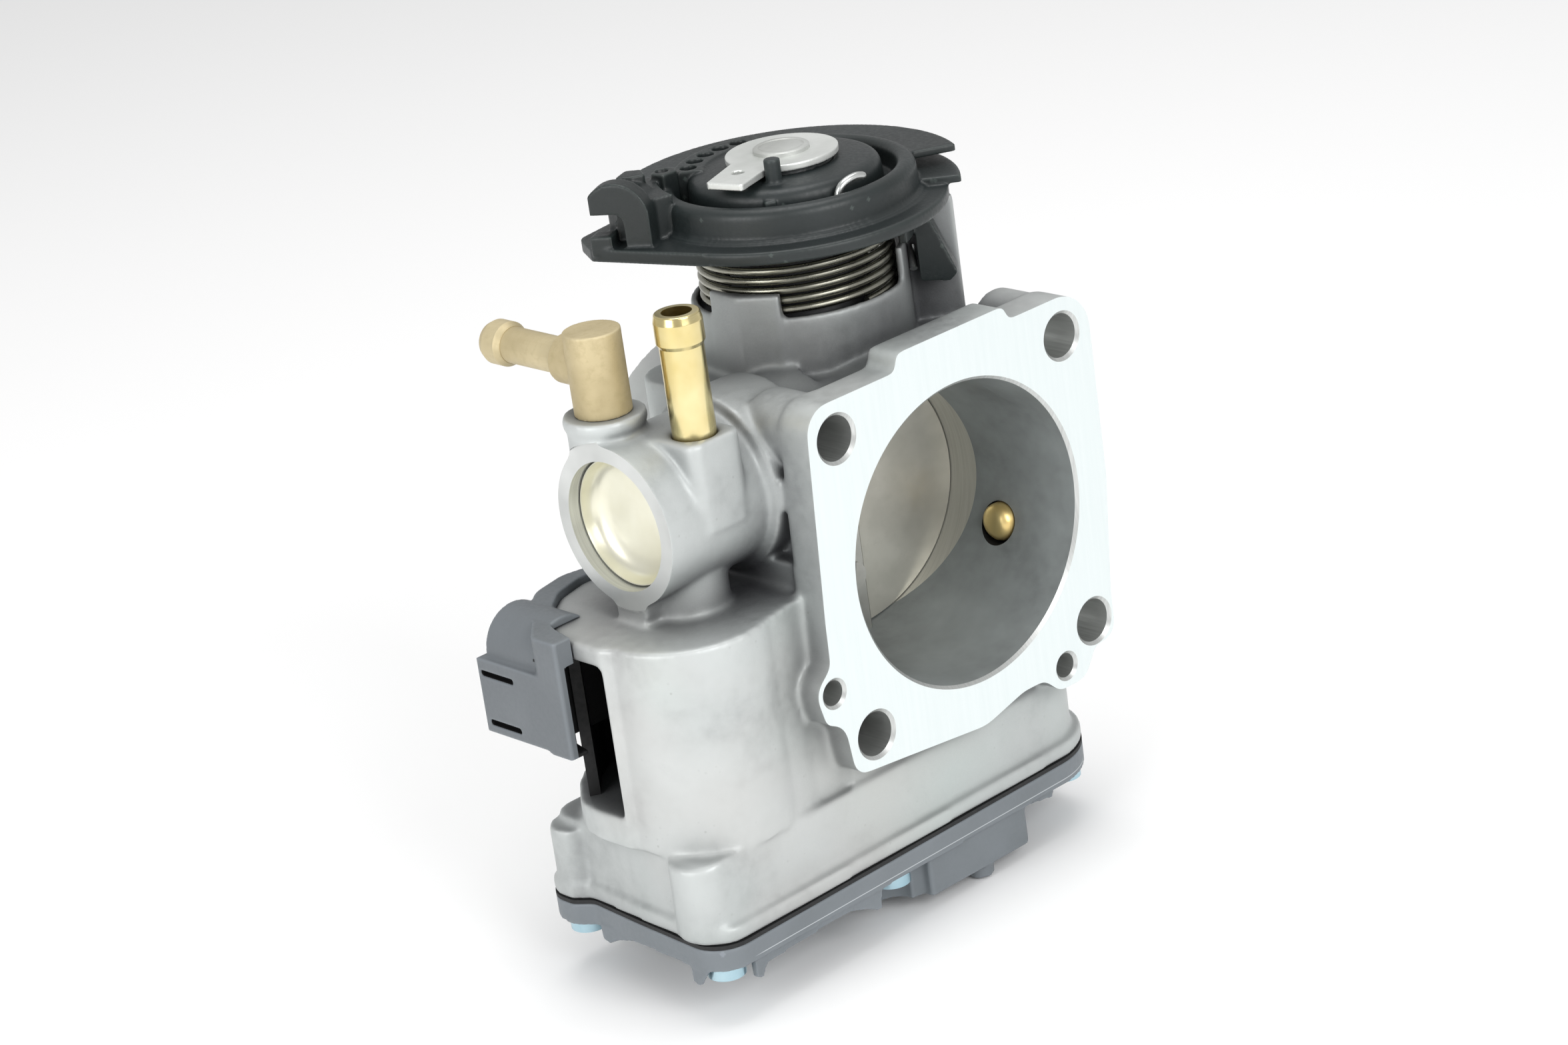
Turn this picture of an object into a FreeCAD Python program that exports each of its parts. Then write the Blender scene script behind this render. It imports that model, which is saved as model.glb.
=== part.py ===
import FreeCAD, Part
import math, os, re
from FreeCAD import Vector, Placement, Rotation

# Cable-operated throttle body with an idle actuator, millimetres.
# Origin: centre of the bore mouth on the machined flange face.
# -Y leaves the flange face, +Y runs down the bore, +Z runs up the throttle shaft.

doc = FreeCAD.newDocument("ThrottleBody")
sheet = doc.addObject("Spreadsheet::Sheet", "params")
V = {}


def dim(alias, value, note=""):
    row = len(V) + 1
    sheet.set("A%d" % row, note or alias)
    sheet.set("B%d" % row, repr(float(value)))
    sheet.setAlias("B%d" % row, alias)
    V[alias] = float(value)


for a, v, n in [
    ("boreMouthRadius", 30.0, "bore radius at the flange face"),
    ("boreRadius", 28.3, "machined bore radius at the plate"),
    ("bodyRadius", 35.0, "outside of the bore housing"),
    ("bodyEnd", 62.0, "end of the bore housing"),
    ("outletEnd", 74.0, "end of the outlet spigot"),
    ("outletRadius", 32.0, "outside of the outlet spigot"),
    ("flangeThick", 8.0, "flange thickness"),
    ("flangeHole", 4.4, "flange bolt hole radius"),
    ("pitchX", 61.2, "flange bolt spacing across"),
    ("pitchZ", 60.2, "flange bolt spacing up"),
    ("shaftY", 39.1, "shaft axis behind the flange face"),
    ("shaftRadius", 5.0, "throttle shaft radius"),
    ("shaftTop", 73.0, "top of the shaft"),
    ("shaftTail", 4.0, "lower journal radius"),
    ("plateRadius", 28.1, "throttle plate radius"),
    ("plateThick", 1.8, "throttle plate thickness"),
    ("plateAngle", 10.0, "plate angle from square when shut"),
    ("neckRadius", 21.5, "outside of the spring cup"),
    ("cupInner", 20.05, "inside of the spring cup"),
    ("neckTop", 45.3, "rim of the spring cup"),
    ("bearingBoss", 13.2, "bearing boss radius"),
    ("bearingOuter", 7.0, "bearing outside radius"),
    ("bearingInner", 5.04, "bearing inside radius"),
    ("motorX", -57.0, "idle motor axis, across"),
    ("motorY", 20.5, "idle motor axis, depth"),
    ("motorHousing", 17.8, "motor housing radius"),
    ("motorPocket", 15.2, "motor pocket radius"),
    ("motorCan", 14.6, "motor can radius"),
    ("motorRoof", 0.3, "top of the motor housing"),
    ("baseBottom", -57.4, "seal face of the base"),
    ("baseTop", -41.0, "top of the base ledge"),
    ("sealThick", 0.8, "cover seal thickness"),
    ("coverBand", 4.6, "height of the cover's side band"),
    ("coverWall", 2.5, "cover wall"),
    ("barrelY", 26.5, "coolant barrel axis, depth"),
    ("barrelZ", 19.8, "coolant barrel axis, height"),
    ("barrelRadius", 15.8, "coolant barrel radius"),
    ("barrelEnd", -64.5, "barrel end face"),
    ("barrelBore", 12.8, "barrel counterbore radius"),
    ("nippleX", -50.2, "straight nipple axis"),
    ("nippleY", 16.7, "straight nipple axis"),
    ("nippleRadius", 4.2, "straight nipple radius"),
    ("elbowX", -58.2, "elbow axis"),
    ("elbowY", 32.2, "elbow axis"),
    ("elbowRadius", 5.5, "elbow body radius"),
    ("elbowTube", 3.5, "elbow tube radius"),
    ("discRadius", 31.0, "cable pulley disc radius"),
    ("discBottom", 59.0, "underside of the pulley disc"),
    ("washerRadius", 11.0, "shaft washer radius"),
    ("springWire", 0.78, "return spring wire radius"),
    ("springMean", 18.7, "return spring mean radius"),
    ("springPitch", 1.98, "return spring pitch"),
    ("gearModule", 1.0, "gear module"),
]:
    dim(a, v, n)
doc.recompute()


def ex(e):
    return re.sub(r"[A-Za-z_]\w*", lambda m: "params." + m.group(0) if m.group(0) in V else m.group(0), e)


def num(e):
    """Value of a sum of words and numbers, each of which may be divided by a number."""
    if isinstance(e, (int, float)):
        return float(e)
    total = 0.0
    for sign, word, by in re.findall(r"([+-]?)\s*([A-Za-z_]\w*|[0-9.]+)(?:/([0-9.]+))?", e):
        val = (V[word] if word in V else float(word)) / float(by or 1)
        total += -val if sign == "-" else val
    return total


def bind(obj, prop, e):
    if isinstance(e, (int, float)):
        e = "%.6f" % e
    obj.setExpression(prop, ex(e))


ROT = {
    "z": Rotation(),
    "x": Rotation(Vector(0, 1, 0), 90),
    "y": Rotation(Vector(1, 0, 0), -90),
}
count = [0]


def new(kind, stem):
    count[0] += 1
    return doc.addObject(kind, "%s_%03d" % (stem, count[0]))


def place(o, pos, rot=None):
    if isinstance(rot, str) or rot is None:
        rot = ROT[rot or "z"]
    o.Placement = Placement(Vector(*[num(q) for q in pos]), rot)
    for k, q in zip("xyz", pos):
        if isinstance(q, str):
            o.setExpression("Placement.Base." + k, ex(q))
    return o


def cyl(r, h, pos, axis="z", angle=None, turn=0.0):
    o = new("Part::Cylinder", "Cyl")
    bind(o, "Radius", r)
    bind(o, "Height", h)
    if angle is not None:
        o.Angle = angle
    rot = ROT[axis] if isinstance(axis, str) else axis
    if turn:
        rot = rot.multiply(Rotation(Vector(0, 0, 1), turn))
    return place(o, pos, rot)


def cone(r1, r2, h, pos, axis="z"):
    o = new("Part::Cone", "Cone")
    bind(o, "Radius1", r1)
    bind(o, "Radius2", r2)
    bind(o, "Height", h)
    return place(o, pos, axis)


def torus(r1, r2, pos, axis="z"):
    o = new("Part::Torus", "Torus")
    bind(o, "Radius1", r1)
    bind(o, "Radius2", r2)
    return place(o, pos, axis)


def box(l, w, h, pos, rot=None):
    o = new("Part::Box", "Box")
    bind(o, "Length", l)
    bind(o, "Width", w)
    bind(o, "Height", h)
    return place(o, pos, rot)


def fuse(*parts):
    parts = [q for q in parts if q is not None]
    if len(parts) == 1:
        return parts[0]
    o = new("Part::MultiFuse", "Fuse")
    o.Shapes = list(parts)
    return o


def cut(base, *tools):
    o = new("Part::Cut", "Cut")
    o.Base = base
    o.Tool = fuse(*tools)
    return o


def common(a, b):
    o = new("Part::Common", "Common")
    o.Base = a
    o.Tool = b
    return o


def ring(ro, ri, h, pos, axis="z", angle=None, turn=0.0, over=1.0):
    outer = cyl(ro, h, pos, axis, angle, turn)
    k = {"x": 0, "y": 1, "z": 2}[axis]
    p2 = list(pos)
    p2[k] = num(p2[k]) - over
    inner = cyl(ri, (h + 2 * over) if isinstance(h, (int, float)) else num(h) + 2 * over, p2, axis)
    return cut(outer, inner)


def corner_path(pts):
    """Lines and tangent arcs round a closed polygon of (u, v, radius)."""
    n = len(pts)
    P = [Vector(q[0], q[1], 0) for q in pts]
    R = [float(q[2]) if len(q) > 2 else 0.0 for q in pts]
    L = [(P[(i + 1) % n] - P[i]).Length for i in range(n)]
    tan = []
    for i in range(n):
        d1 = (P[i - 1] - P[i]).normalize()
        d2 = (P[(i + 1) % n] - P[i]).normalize()
        tan.append(math.tan(math.acos(max(-1, min(1, d1.dot(d2)))) / 2))
    # corners that would run into each other are made tighter
    for turn in range(3):
        for i in range(n):
            k = (i + 1) % n
            need = R[i] / tan[i] + R[k] / tan[k]
            if need > 0.97 * L[i]:
                f = 0.97 * L[i] / need
                R[i] *= f
                R[k] *= f
    ends = []
    for i in range(n):
        if R[i] < 1e-6:
            ends.append((P[i], None, P[i]))
            continue
        d1 = (P[i - 1] - P[i]).normalize()
        d2 = (P[(i + 1) % n] - P[i]).normalize()
        t = R[i] / tan[i]
        bis = (d1 + d2).normalize()
        c = P[i] + bis * math.hypot(R[i], t)
        ends.append((P[i] + d1 * t, c - bis * R[i], P[i] + d2 * t))
    segs = []
    for i in range(n):
        p1, mid, p2 = ends[i]
        if mid is not None:
            segs.append(Part.Arc(p1, mid, p2))
        q = ends[(i + 1) % n][0]
        if (q - p2).Length > 1e-6:
            segs.append(Part.LineSegment(p2, q))
    return segs


PLANE = {
    "XY": Rotation(),
    "XZ": Rotation(Vector(1, 0, 0), 90),
    "YZ": Rotation(Vector(0.57735, 0.57735, 0.57735), 120),
}


def extrude(pts, length, plane="XY", level=0.0, rot=None, pos=None):
    """Closed profile pulled along its plane's normal (XZ: towards -Y for +length)."""
    sk = new("Sketcher::SketchObject", "Sketch")
    sk.addGeometry(corner_path(pts), False)
    if pos is None:
        lv = num(level)
        pos = {"XY": (0, 0, level), "XZ": (0, level, 0), "YZ": (level, 0, 0)}[plane]
    place(sk, pos, rot or PLANE[plane])
    o = new("Part::Extrusion", "Extrude")
    o.Base = sk
    o.DirMode = "Normal"
    o.Solid = True
    bind(o, "LengthFwd", length)
    return o


def revolve(pts, centre=(0, "shaftY"), angle=360.0, start=0.0):
    """Profile of (radius, z) turned about a vertical line."""
    sk = new("Sketcher::SketchObject", "Sketch")
    sk.addGeometry(corner_path(pts), False)
    cx, cy = centre
    rot = Rotation(Vector(0, 0, 1), start).multiply(PLANE["XZ"])
    place(sk, (cx, cy, 0), rot)
    o = new("Part::Revolution", "Revolve")
    o.Source = sk
    o.Axis = Vector(0, 0, 1)
    o.Base = Vector(num(cx), num(cy), 0)
    o.Angle = angle
    o.Solid = True
    return o


NODES = {}


def node(name, obj):
    obj.Label = name
    NODES[name] = obj
    return obj


def body(name, pts, length, plane="XY_Plane", level=0.0, pockets=(), pos=(0, 0, 0)):
    """PartDesign body: one padded profile with round pockets (x, y, radius)."""
    b = doc.addObject("PartDesign::Body", "Body_" + name)
    origin = [f for f in b.Origin.OriginFeatures if f.Role == plane][0]
    sk = b.newObject("Sketcher::SketchObject", "Profile_" + name)
    sk.AttachmentSupport = (origin, "")
    sk.MapMode = "FlatFace"
    sk.AttachmentOffset = Placement(Vector(0, 0, num(level)), Rotation())
    sk.addGeometry(corner_path(pts), False)
    pad = b.newObject("PartDesign::Pad", "Pad_" + name)
    pad.Profile = sk
    bind(pad, "Length", length)
    doc.recompute()
    before = pad.Shape.Volume
    if pockets:
        hs = b.newObject("Sketcher::SketchObject", "Holes_" + name)
        hs.AttachmentSupport = (origin, "")
        hs.MapMode = "FlatFace"
        hs.AttachmentOffset = Placement(Vector(0, 0, num(level)), Rotation())
        for i, (x, y, r) in enumerate(pockets):
            hs.addGeometry(Part.Circle(Vector(x, y, 0), Vector(0, 0, 1), num(r)), False)
        pk = b.newObject("PartDesign::Pocket", "Pocket_" + name)
        pk.Profile = hs
        pk.Reversed = True
        bind(pk, "Length", length)
        doc.recompute()
        if not pk.Shape.Volume < before - 1e-3:
            raise RuntimeError("pocket cuts nothing in " + name)
    place(b, pos)
    return b


def shape_feature(name, shape):
    o = doc.addObject("Part::Feature", "Shape_" + name)
    o.Shape = shape
    o.Placement = shape.Placement
    return node(name, o)


S = ("0", "shaftY")
sY = V["shaftY"]

# ---------------------------------------------------------------- housing
flange_pts = [
    (-37.4, 37.6, 5.5), (-14.2, 37.6, 1.0), (-13.0, 41.0, 1.5), (15.6, 41.0, 1.5), (17.0, 38.0, 1.0),
    (38.6, 38.0, 8.5), (38.6, -2.0, 30.0), (36.2, -26.0, 20.0), (36.2, -35.2, 3.5), (30.2, -35.2, 2.0),
    (26.6, -40.8, 4.0), (19.0, -40.8, 4.0), (15.0, -37.0, 4.0), (9.0, -37.0, 6.0), (-2.0, -39.8, 12.0),
    (-37.0, -36.2, 3.6), (-38.3, -25.0, 5.0), (-42.6, -23.6, 2.5), (-44.4, -16.4, 4.0), (-39.8, -12.6, 3.0),
    (-39.6, -4.0, 20.0),
]
flange = extrude(flange_pts, "flangeThick", "XZ", "flangeThick")
tube = cyl("bodyRadius", "bodyEnd-4", (0, 4, 0), "y")
spigot = cyl("outletRadius", "outletEnd-bodyEnd+1", (0, "bodyEnd-1", 0), "y")
bead = ring(33.6, 31.0, 2.4, (0, "bodyEnd-0.4", 0), "y")
# four bolt columns behind the flange
bolt_at = [("-pitchX/2", "pitchZ/2"), ("pitchX/2", "pitchZ/2"), ("pitchX/2", "-pitchZ/2"), ("-pitchX/2", "-pitchZ/2")]
cols = [cyl(7.2, 16.0, (x, 2.0, z), "y") for x, z in bolt_at]
shoulder = extrude([(-31, 4, 0), (31, 4, 0), (31, 58, 8), (-31, 58, 8)], 33.0, "XY", 0.0)
neck = cyl("neckRadius", "neckTop-22", (0, "shaftY", 22.0))
cup = cyl("cupInner", 4.0, (0, "shaftY", "neckTop-3.1"))
boss_up = cyl("bearingBoss", 34.5, (0, "shaftY", 22.0))
# posts standing round the spring
posts = [
    ring("neckRadius", "cupInner", 26.0, (0, "shaftY", 26.0), "z", 40.0, -62.0),
    ring("neckRadius", "cupInner", 24.0, (0, "shaftY", 26.0), "z", 42.0, 64.0),
]
front_flat = extrude([(-21.5, 41.4, 0), (-22.4, 32.8, 0.8), (-17.8, 25.6, 0), (-13.0, 29.0, 0), (-15.0, 41.4, 0)], 25.9, "XY", 24.4)
stop_post = ring(31.9, 21.0, 31.0, (0, "shaftY", 26.8), "z", 26.0, -36.0)
lower_boss = cyl(13.5, 32.0, (0, "shaftY", -56.0))
motor_cyl = cyl("motorHousing", 41.6, ("motorX", "motorY", -41.3))
roof_pts = [(-57, 2.7, 0), (-74.8, 20.5, 0), (-76.2, 22.4, 2.0), (-76.4, 30.0, 8.0), (-75.2, 36.5, 8.0), (-69.0, 44.0, 10.0), (-63.0, 48.8, 8.0), (-56.0, 50.8, 6.0),
            (-46.0, 50.6, 0), (-28.0, 50.6, 0), (-28.0, 6.0, 0), (-42.0, 6.0, 0)]
roof = extrude(roof_pts, 41.3, "XY", -41.0)
lip_pts = [(-75.4, 1.5, 7.0), (36.0, 3.7, 16.0), (36.0, 55.0, 15.0), (20.0, 66.0, 12.0), (-30.0, 66.0, 8.0), (-42.0, 52.5, 8.0),
           (-75.6, 52.5, 6.0), (-75.6, 43.6, 2.5), (-73.2, 40.0, 3.0), (-74.2, 26.0, 30.0)]
lip = extrude(lip_pts, 3.2, "XY", "baseBottom")
base_pts = [(-73.9, 3.5, 5.0), (33.8, 5.3, 14.0), (33.8, 54.0, 14.0), (19.0, 63.8, 12.0), (-29.0, 63.8, 8.0), (-41.0, 50.3, 8.0), (-73.0, 50.3, 5.0), (-72.4, 40.0, 8.0)]
base = extrude(base_pts, "baseTop-baseBottom", "XY", "baseBottom")
web_low = extrude([(-34, 5.0, 0), (33.6, 6.0, 12), (33.6, 52, 12), (18, 60, 8), (-34, 60, 6)], 17.0, "XY", -43.0)
corner_col = cyl(6.0, 15.6, (-70.2, 9.6, -57.0))
ear_col = cyl(5.0, 14.1, (-70.4, 45.6, -57.0))
barrel = cyl("barrelRadius", 48.0, ("barrelEnd", "barrelY", "barrelZ"), "x")
collar = cyl(17.6, 14.0, (-39.5, "barrelY", "barrelZ"), "x")
nipple_boss = extrude([(-56.6, 10.4, 2.5), (-43.8, 10.4, 2.5), (-43.8, 27.0, 0), (-56.6, 27.0, 0)], 17.6, "XY", 17.8)
elbow_boss = cyl(7.4, 20.0, ("elbowX", "elbowY", 18.6))
elbow_rim = cyl(8.0, 2.2, ("elbowX", "elbowY", 37.4))
# the barrel stands on a web under its end face and on a round foot
end_web = extrude([(22.2, -0.6, 0), (29.6, -0.6, 0), (30.6, 8.0, 1.5), (34.0, 14.0, 0), (17.0, 14.0, 0), (14.2, 10.6, 1.0), (20.4, 5.4, 3.0)], 3.6, "YZ", -64.4)
web_roof = fuse(end_web, cyl(8.4, 13.0, (-52.2, 23.8, -0.6)))
side_web = box(14.0, 36.0, 44.0, (-38.0, 8.0, -38.0))
pin_pad = cyl(7.0, 9.0, (29.0, 19.6, -11.2), "x")
positive = fuse(flange, tube, spigot, bead, shoulder, neck, boss_up, front_flat, stop_post, lower_boss,
                motor_cyl, roof, lip, base, web_low, corner_col, ear_col, barrel, collar, nipple_boss,
                elbow_boss, elbow_rim, web_roof, side_web, pin_pad, *(cols + posts))

bore = cyl("boreRadius", "outletEnd+20", (0, -10, 0), "y")
taper = cone("boreMouthRadius", 28.9, 52.0, (0, 0, 0), "y")
# the taper stops at an inclined plane, so the machined bore shows as a slanted band
wedge = extrude([(-40.0, -2.0, 0), (40.0, -2.0, 0), (40.0, 19.0, 0), (-40.0, 66.0, 0)], 90.0, "XY", -45.0)
taper_cut = common(taper, wedge)
mouth = cone("boreMouthRadius+0.6", "boreMouthRadius-0.4", 1.0, (0, 0, 0), "y")
bolt_holes = [cyl("flangeHole", 40.0, (x, -2.0, z), "y") for x, z in bolt_at]
dowels = [cyl(2.5, 12.0, (x, -1.0, z), "y") for x, z in ((-39.7, -18.0), (21.6, -36.4))]
dowel_ch = [cone(3.1, 2.4, 0.7, (x, 0.0, z), "y") for x, z in ((-39.7, -18.0), (21.6, -36.4))]
shaft_hole_up = cyl("shaftRadius+0.3", 40.0, (0, "shaftY", 0))
bear_up = cyl("bearingOuter", 27.5, (0, "shaftY", 29.2))
shaft_hole_dn = cyl("shaftRadius+0.3", 50.0, (0, "shaftY", -50.0))
bear_dn = cyl("bearingOuter", 28.4, (0, "shaftY", -57.6))
cup_cut = ring("cupInner", "bearingBoss", 30.0, (0, "shaftY", 42.2))
motor_pocket = cyl("motorPocket", 52.4, ("motorX", "motorY", -57.5))
chamber = extrude([(-71.4, 13.0, 4.0), (-64.5, 7.8, 3.0), (-28.9, 7.8, 1.0), (-28.9, 10.6, 1.5), (-22.1, 10.6, 1.5), (-22.1, 7.8, 1.0), (23.0, 7.8, 2.0), (23.0, 15.0, 4.0), (29.8, 17.0, 4.0), (29.8, 50.0, 10.0), (17.0, 59.8, 9.0), (-24.6, 59.8, 3.0),
                   (-24.6, 58.6, 3.0), (-37.6, 47.2, 4.0), (-66.0, 47.2, 3.0), (-66.0, 39.5, 3.0), (-71.4, 39.5, 3.0)], 12.5, "XY", "baseBottom-0.1")
boss_keep = cyl("bearingBoss", 8.0, (0, "shaftY", -48.2))
# side window and connector pocket under the roof
window = extrude([(-90.0, 22.8, 0), (-66.0, 22.8, 0), (-50.0, 36.5, 0), (-44.0, 36.5, 0), (-44.0, 60.0, 0), (-90.0, 60.0, 0)], 31.0, "XY", -34.6)
barrel_cb = cyl("barrelBore", 9.0, ("barrelEnd-1", "barrelY", "barrelZ"), "x")
barrel_core = cyl(10.6, 32.0, ("barrelEnd+2", "barrelY", "barrelZ"), "x")
nip_hole = cyl("nippleRadius", 30.0, ("nippleX", "nippleY", 27.4))
nip_way = cyl(2.9, 20.0, ("nippleX", "nippleY", 20.0))
elb_hole = cyl(4.5, 12.0, ("elbowX", "elbowY", 33.2))
elb_way = cyl(2.6, 20.0, ("elbowX", "elbowY", 22.0))
screws_at = [(-69.6, 7.2), (-25.5, 7.2), (27.4, 10.8), (-70.6, 45.9), (26.0, 55.4), (-30.0, 58.6)]
screw_holes = [cyl(1.95, 11.0, (x, y, -57.5)) for x, y in screws_at]
axle_R1 = 22.0
axle_R2 = 38.0
mx, my = V["motorX"], V["motorY"]
dd = math.hypot(mx, sY - my)
ux, uy = -mx / dd, (sY - my) / dd
aa = (dd * dd + axle_R1 ** 2 - axle_R2 ** 2) / (2 * dd)
hh = math.sqrt(max(axle_R1 ** 2 - aa * aa, 0.0))
ax_x, ax_y = mx + ux * aa - uy * hh, my + uy * aa + ux * hh
axle_hole = cyl(2.0, 12.0, (ax_x, ax_y, -50.0))
pin_hole = cyl(4.4, 14.0, (24.0, 19.6, -11.2), "x")
chamber_open = cut(chamber, boss_keep)
housing = cut(positive, bore, taper_cut, mouth, shaft_hole_up, bear_up, shaft_hole_dn, bear_dn, cup_cut,
              motor_pocket, chamber_open, window, barrel_cb, barrel_core, nip_hole, nip_way, elb_hole, elb_way,
              axle_hole, pin_hole, *(bolt_holes + dowels + dowel_ch + screw_holes))
node("housing", housing)

# ---------------------------------------------------------------- bearings and seals
node("upper_shaft_bearing", ring("bearingOuter", "bearingInner", 12.0, (0, "shaftY", 30.2)))
node("upper_shaft_seal", ring("bearingOuter", "bearingInner", 3.0, (0, "shaftY", 44.5)))
node("lower_shaft_bearing", ring("bearingOuter", "bearingInner", 10.0, (0, "shaftY", -41.2)))
node("lower_shaft_seal", ring("bearingOuter", "bearingInner", 2.4, (0, "shaftY", -43.8)))
node("upper_bearing_cap", ring("bearingOuter", "bearingInner+0.3", 2.0, (0, "shaftY", 54.5)))

# ---------------------------------------------------------------- shaft, plate and its screws
shaft_main = cyl("shaftRadius", "shaftTop+44.6-0.6", (0, "shaftY", -44.6))
shaft_tail = cyl("shaftTail", 21.6, (0, "shaftY", -66.0))
rot_plate = Rotation(Vector(0, 0, 1), -V["plateAngle"])
slot = box(40.0, "plateThick", 57.2, (0, 0, 0))
c, s_ = math.cos(math.radians(-V["plateAngle"])), math.sin(math.radians(-V["plateAngle"]))
tt = V["plateThick"] / 2
slot.Placement = Placement(Vector(-20 * c + tt * s_, sY - 20 * s_ - tt * c, -28.6), rot_plate)
nx, ny = s_, -c            # plate normal, towards the flange
flat = box(40.0, 6.0, 57.2, (0, 0, 0))
flat.Placement = Placement(Vector(-20 * c + nx * 9.4, sY - 20 * s_ + ny * 9.4, -28.6), rot_plate)
screw_z = (-15.5, 15.5)
pl_holes = []
for z in screw_z:
    o = cyl(1.55, 14.0, (0, 0, 0))
    o.Placement = Placement(Vector(nx * 7, sY + ny * 7, z), Rotation(Vector(0, 0, 1), Vector(-nx, -ny, 0)))
    pl_holes.append(o)
node("throttle_shaft", cut(fuse(shaft_main, shaft_tail), slot, flat, *pl_holes))

disc = box(80.0, "plateThick", 80.0, (0, 0, 0))
disc.Placement = Placement(Vector(-40 * c - nx * -tt, sY - 40 * s_ - ny * -tt, -40.0), rot_plate)
keep = cyl("plateRadius", 80.0, (0, 0, 0), "y")
pl_holes2 = []
for z in screw_z:
    o = cyl(1.55, 14.0, (0, 0, 0))
    o.Placement = Placement(Vector(nx * 7, sY + ny * 7, z), Rotation(Vector(0, 0, 1), Vector(-nx, -ny, 0)))
    pl_holes2.append(o)
node("throttle_plate", cut(common(disc, keep), *pl_holes2))

heads = []
for z in screw_z:
    shank = cyl(1.5, 6.4, (0, 0, 0))
    shank.Placement = Placement(Vector(nx * 3.4, sY + ny * 3.4, z), Rotation(Vector(0, 0, 1), Vector(-nx, -ny, 0)))
    head = cyl(2.9, 1.9, (0, 0, 0))
    head.Placement = Placement(Vector(nx * 5.3, sY + ny * 5.3, z), Rotation(Vector(0, 0, 1), Vector(-nx, -ny, 0)))
    slot_h = box(0.8, 8.0, 0.8, (0, 0, 0))
    q = Rotation(Vector(0, 0, 1), Vector(-nx, -ny, 0))
    slot_h.Placement = Placement(Vector(nx * 5.35, sY + ny * 5.35, z) + q.multVec(Vector(-0.4, -4, 0)), q)
    heads.append(cut(fuse(head, shank), slot_h))
node("plate_screws", fuse(*heads))

# ---------------------------------------------------------------- cable pulley
zb = V["discBottom"]
drum = revolve([(5.0, 57.2, 0), (11.5, 57.2, 0), (11.5, zb, 0), (31.0, zb, 0.6), (31.0, zb + 2.6, 0.6), (26.5, zb + 2.6, 0), (26.5, zb + 3.2, 0.3),
                (25.6, zb + 3.2, 0), (25.3, 67.9, 2.0), (21.7, 68.2, 1.6), (21.4, 63.4, 0.5), (19.1, 63.4, 0.5), (18.6, 69.4, 2.4), (10.5, 70.2, 0), (9.2, 69.2, 0.0), (9.2, 71.0, 0), (5.0, 71.0, 0)])
ext = extrude([(-29.9, 30.8, 0), (-37.4, 55.0, 1.5), (-33.6, 62.6, 3.0), (-12.0, 66.8, 0), (0.0, 40.0, 0)], 2.6, "XY", "discBottom")
ext = cut(ext, cyl(20.0, 6.0, (0, "shaftY", 57.0)))
low_wing = ring(33.6, 24.0, 1.6, (0, "shaftY", 61.6), "z", 196.0, -46.0)
up_wing = ring(34.2, 24.0, 1.6, (0, "shaftY", 65.2), "z", 176.0, -30.0)
# cable hook: a thick C open towards the left, for the cable's end nipple
hc = Vector(-35.0, 49.8, 67.2)
hd = Vector(0.86, 0.51, 0).normalize()
hu = Vector(-0.51, 0.86, 0).normalize()
hook_rot = Rotation(hu, Vector(0, 0, 1), hd, "ZXY")
round_rot = Rotation(Vector(0, 0, 1), hd)


def hook_box(u0, u1, z0, z1, d0, d1):
    o = box(u1 - u0, z1 - z0, d1 - d0, (0, 0, 0))
    base = Vector(hc.x, hc.y, 0) + hu * u0 + hd * d0 + Vector(0, 0, z0)
    m = FreeCAD.Matrix(hu.x, 0, hd.x, base.x, hu.y, 0, hd.y, base.y, 0, 1, 0, base.z, 0, 0, 0, 1)
    if m.determinant() < 0:
        base = base + hu * (u1 - u0)
        m = FreeCAD.Matrix(-hu.x, 0, hd.x, base.x, -hu.y, 0, hd.y, base.y, 0, 1, 0, base.z, 0, 0, 0, 1)
    o.Placement = Placement(m)
    return o


def hook_cyl(r, u, z, d0, d1):
    o = cyl(r, d1 - d0, (0, 0, 0))
    o.Placement = Placement(Vector(hc.x, hc.y, 0) + hu * u + hd * d0 + Vector(0, 0, z), round_rot)
    return o


c_shape = fuse(hook_cyl(6.7, -0.5, 67.7, 0.0, 4.0), hook_cyl(5.9, -0.5, 66.6, 3.0, 10.4), hook_box(-7.15, 0.0, 60.2, 67.6, 0.0, 4.0), hook_box(-6.2, 0.6, 60.2, 67.0, 3.5, 9.0))
c_mouth = fuse(hook_box(-0.1, 12.0, 58.0, 68.3, -1.0, 4.4), hook_box(-1.9, 12.0, 58.0, 66.5, -1.0, 4.4), hook_cyl(1.8, -0.1, 66.5, -1.0, 4.4), hook_box(4.55, 12.0, 58.0, 76.0, -1.0, 12.0),
               hook_box(1.0, 12.0, 62.2, 68.3, 4.0, 12.0))
low_jaw = fuse(hook_box(0.95, 5.2, 60.2, 64.1, 0.0, 4.2), hook_box(-0.4, 1.5, 61.0, 65.6, 4.4, 8.0))
trim_low = box(40, 40, 10, (-60, 30, 49.0))
hook = cut(c_shape, c_mouth, trim_low)
hook_foot = box(5.0, 8.4, 7.0, (0, 0, 0))
hook_foot.Placement = Placement(Vector(-30.6, 46.6, 60.0), Rotation(Vector(0, 0, 1), 32))
ridge = extrude([(-29.4, 54.6, 0.6), (-25.0, 56.6, 0.6), (-22.8, 54.2, 0.6), (-24.8, 50.8, 0.6), (-27.4, 52.0, 0.6)], 8.0, "XY", 65.4)
link = extrude([(-31.0, 47.0, 0), (-22.0, 44.0, 0), (-18.0, 58.0, 0), (-28.0, 61.0, 2)], 9.4, "XY", 60.5)
link = cut(link, cyl(24.6, 14.0, (0, "shaftY", 59.0)))
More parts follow.
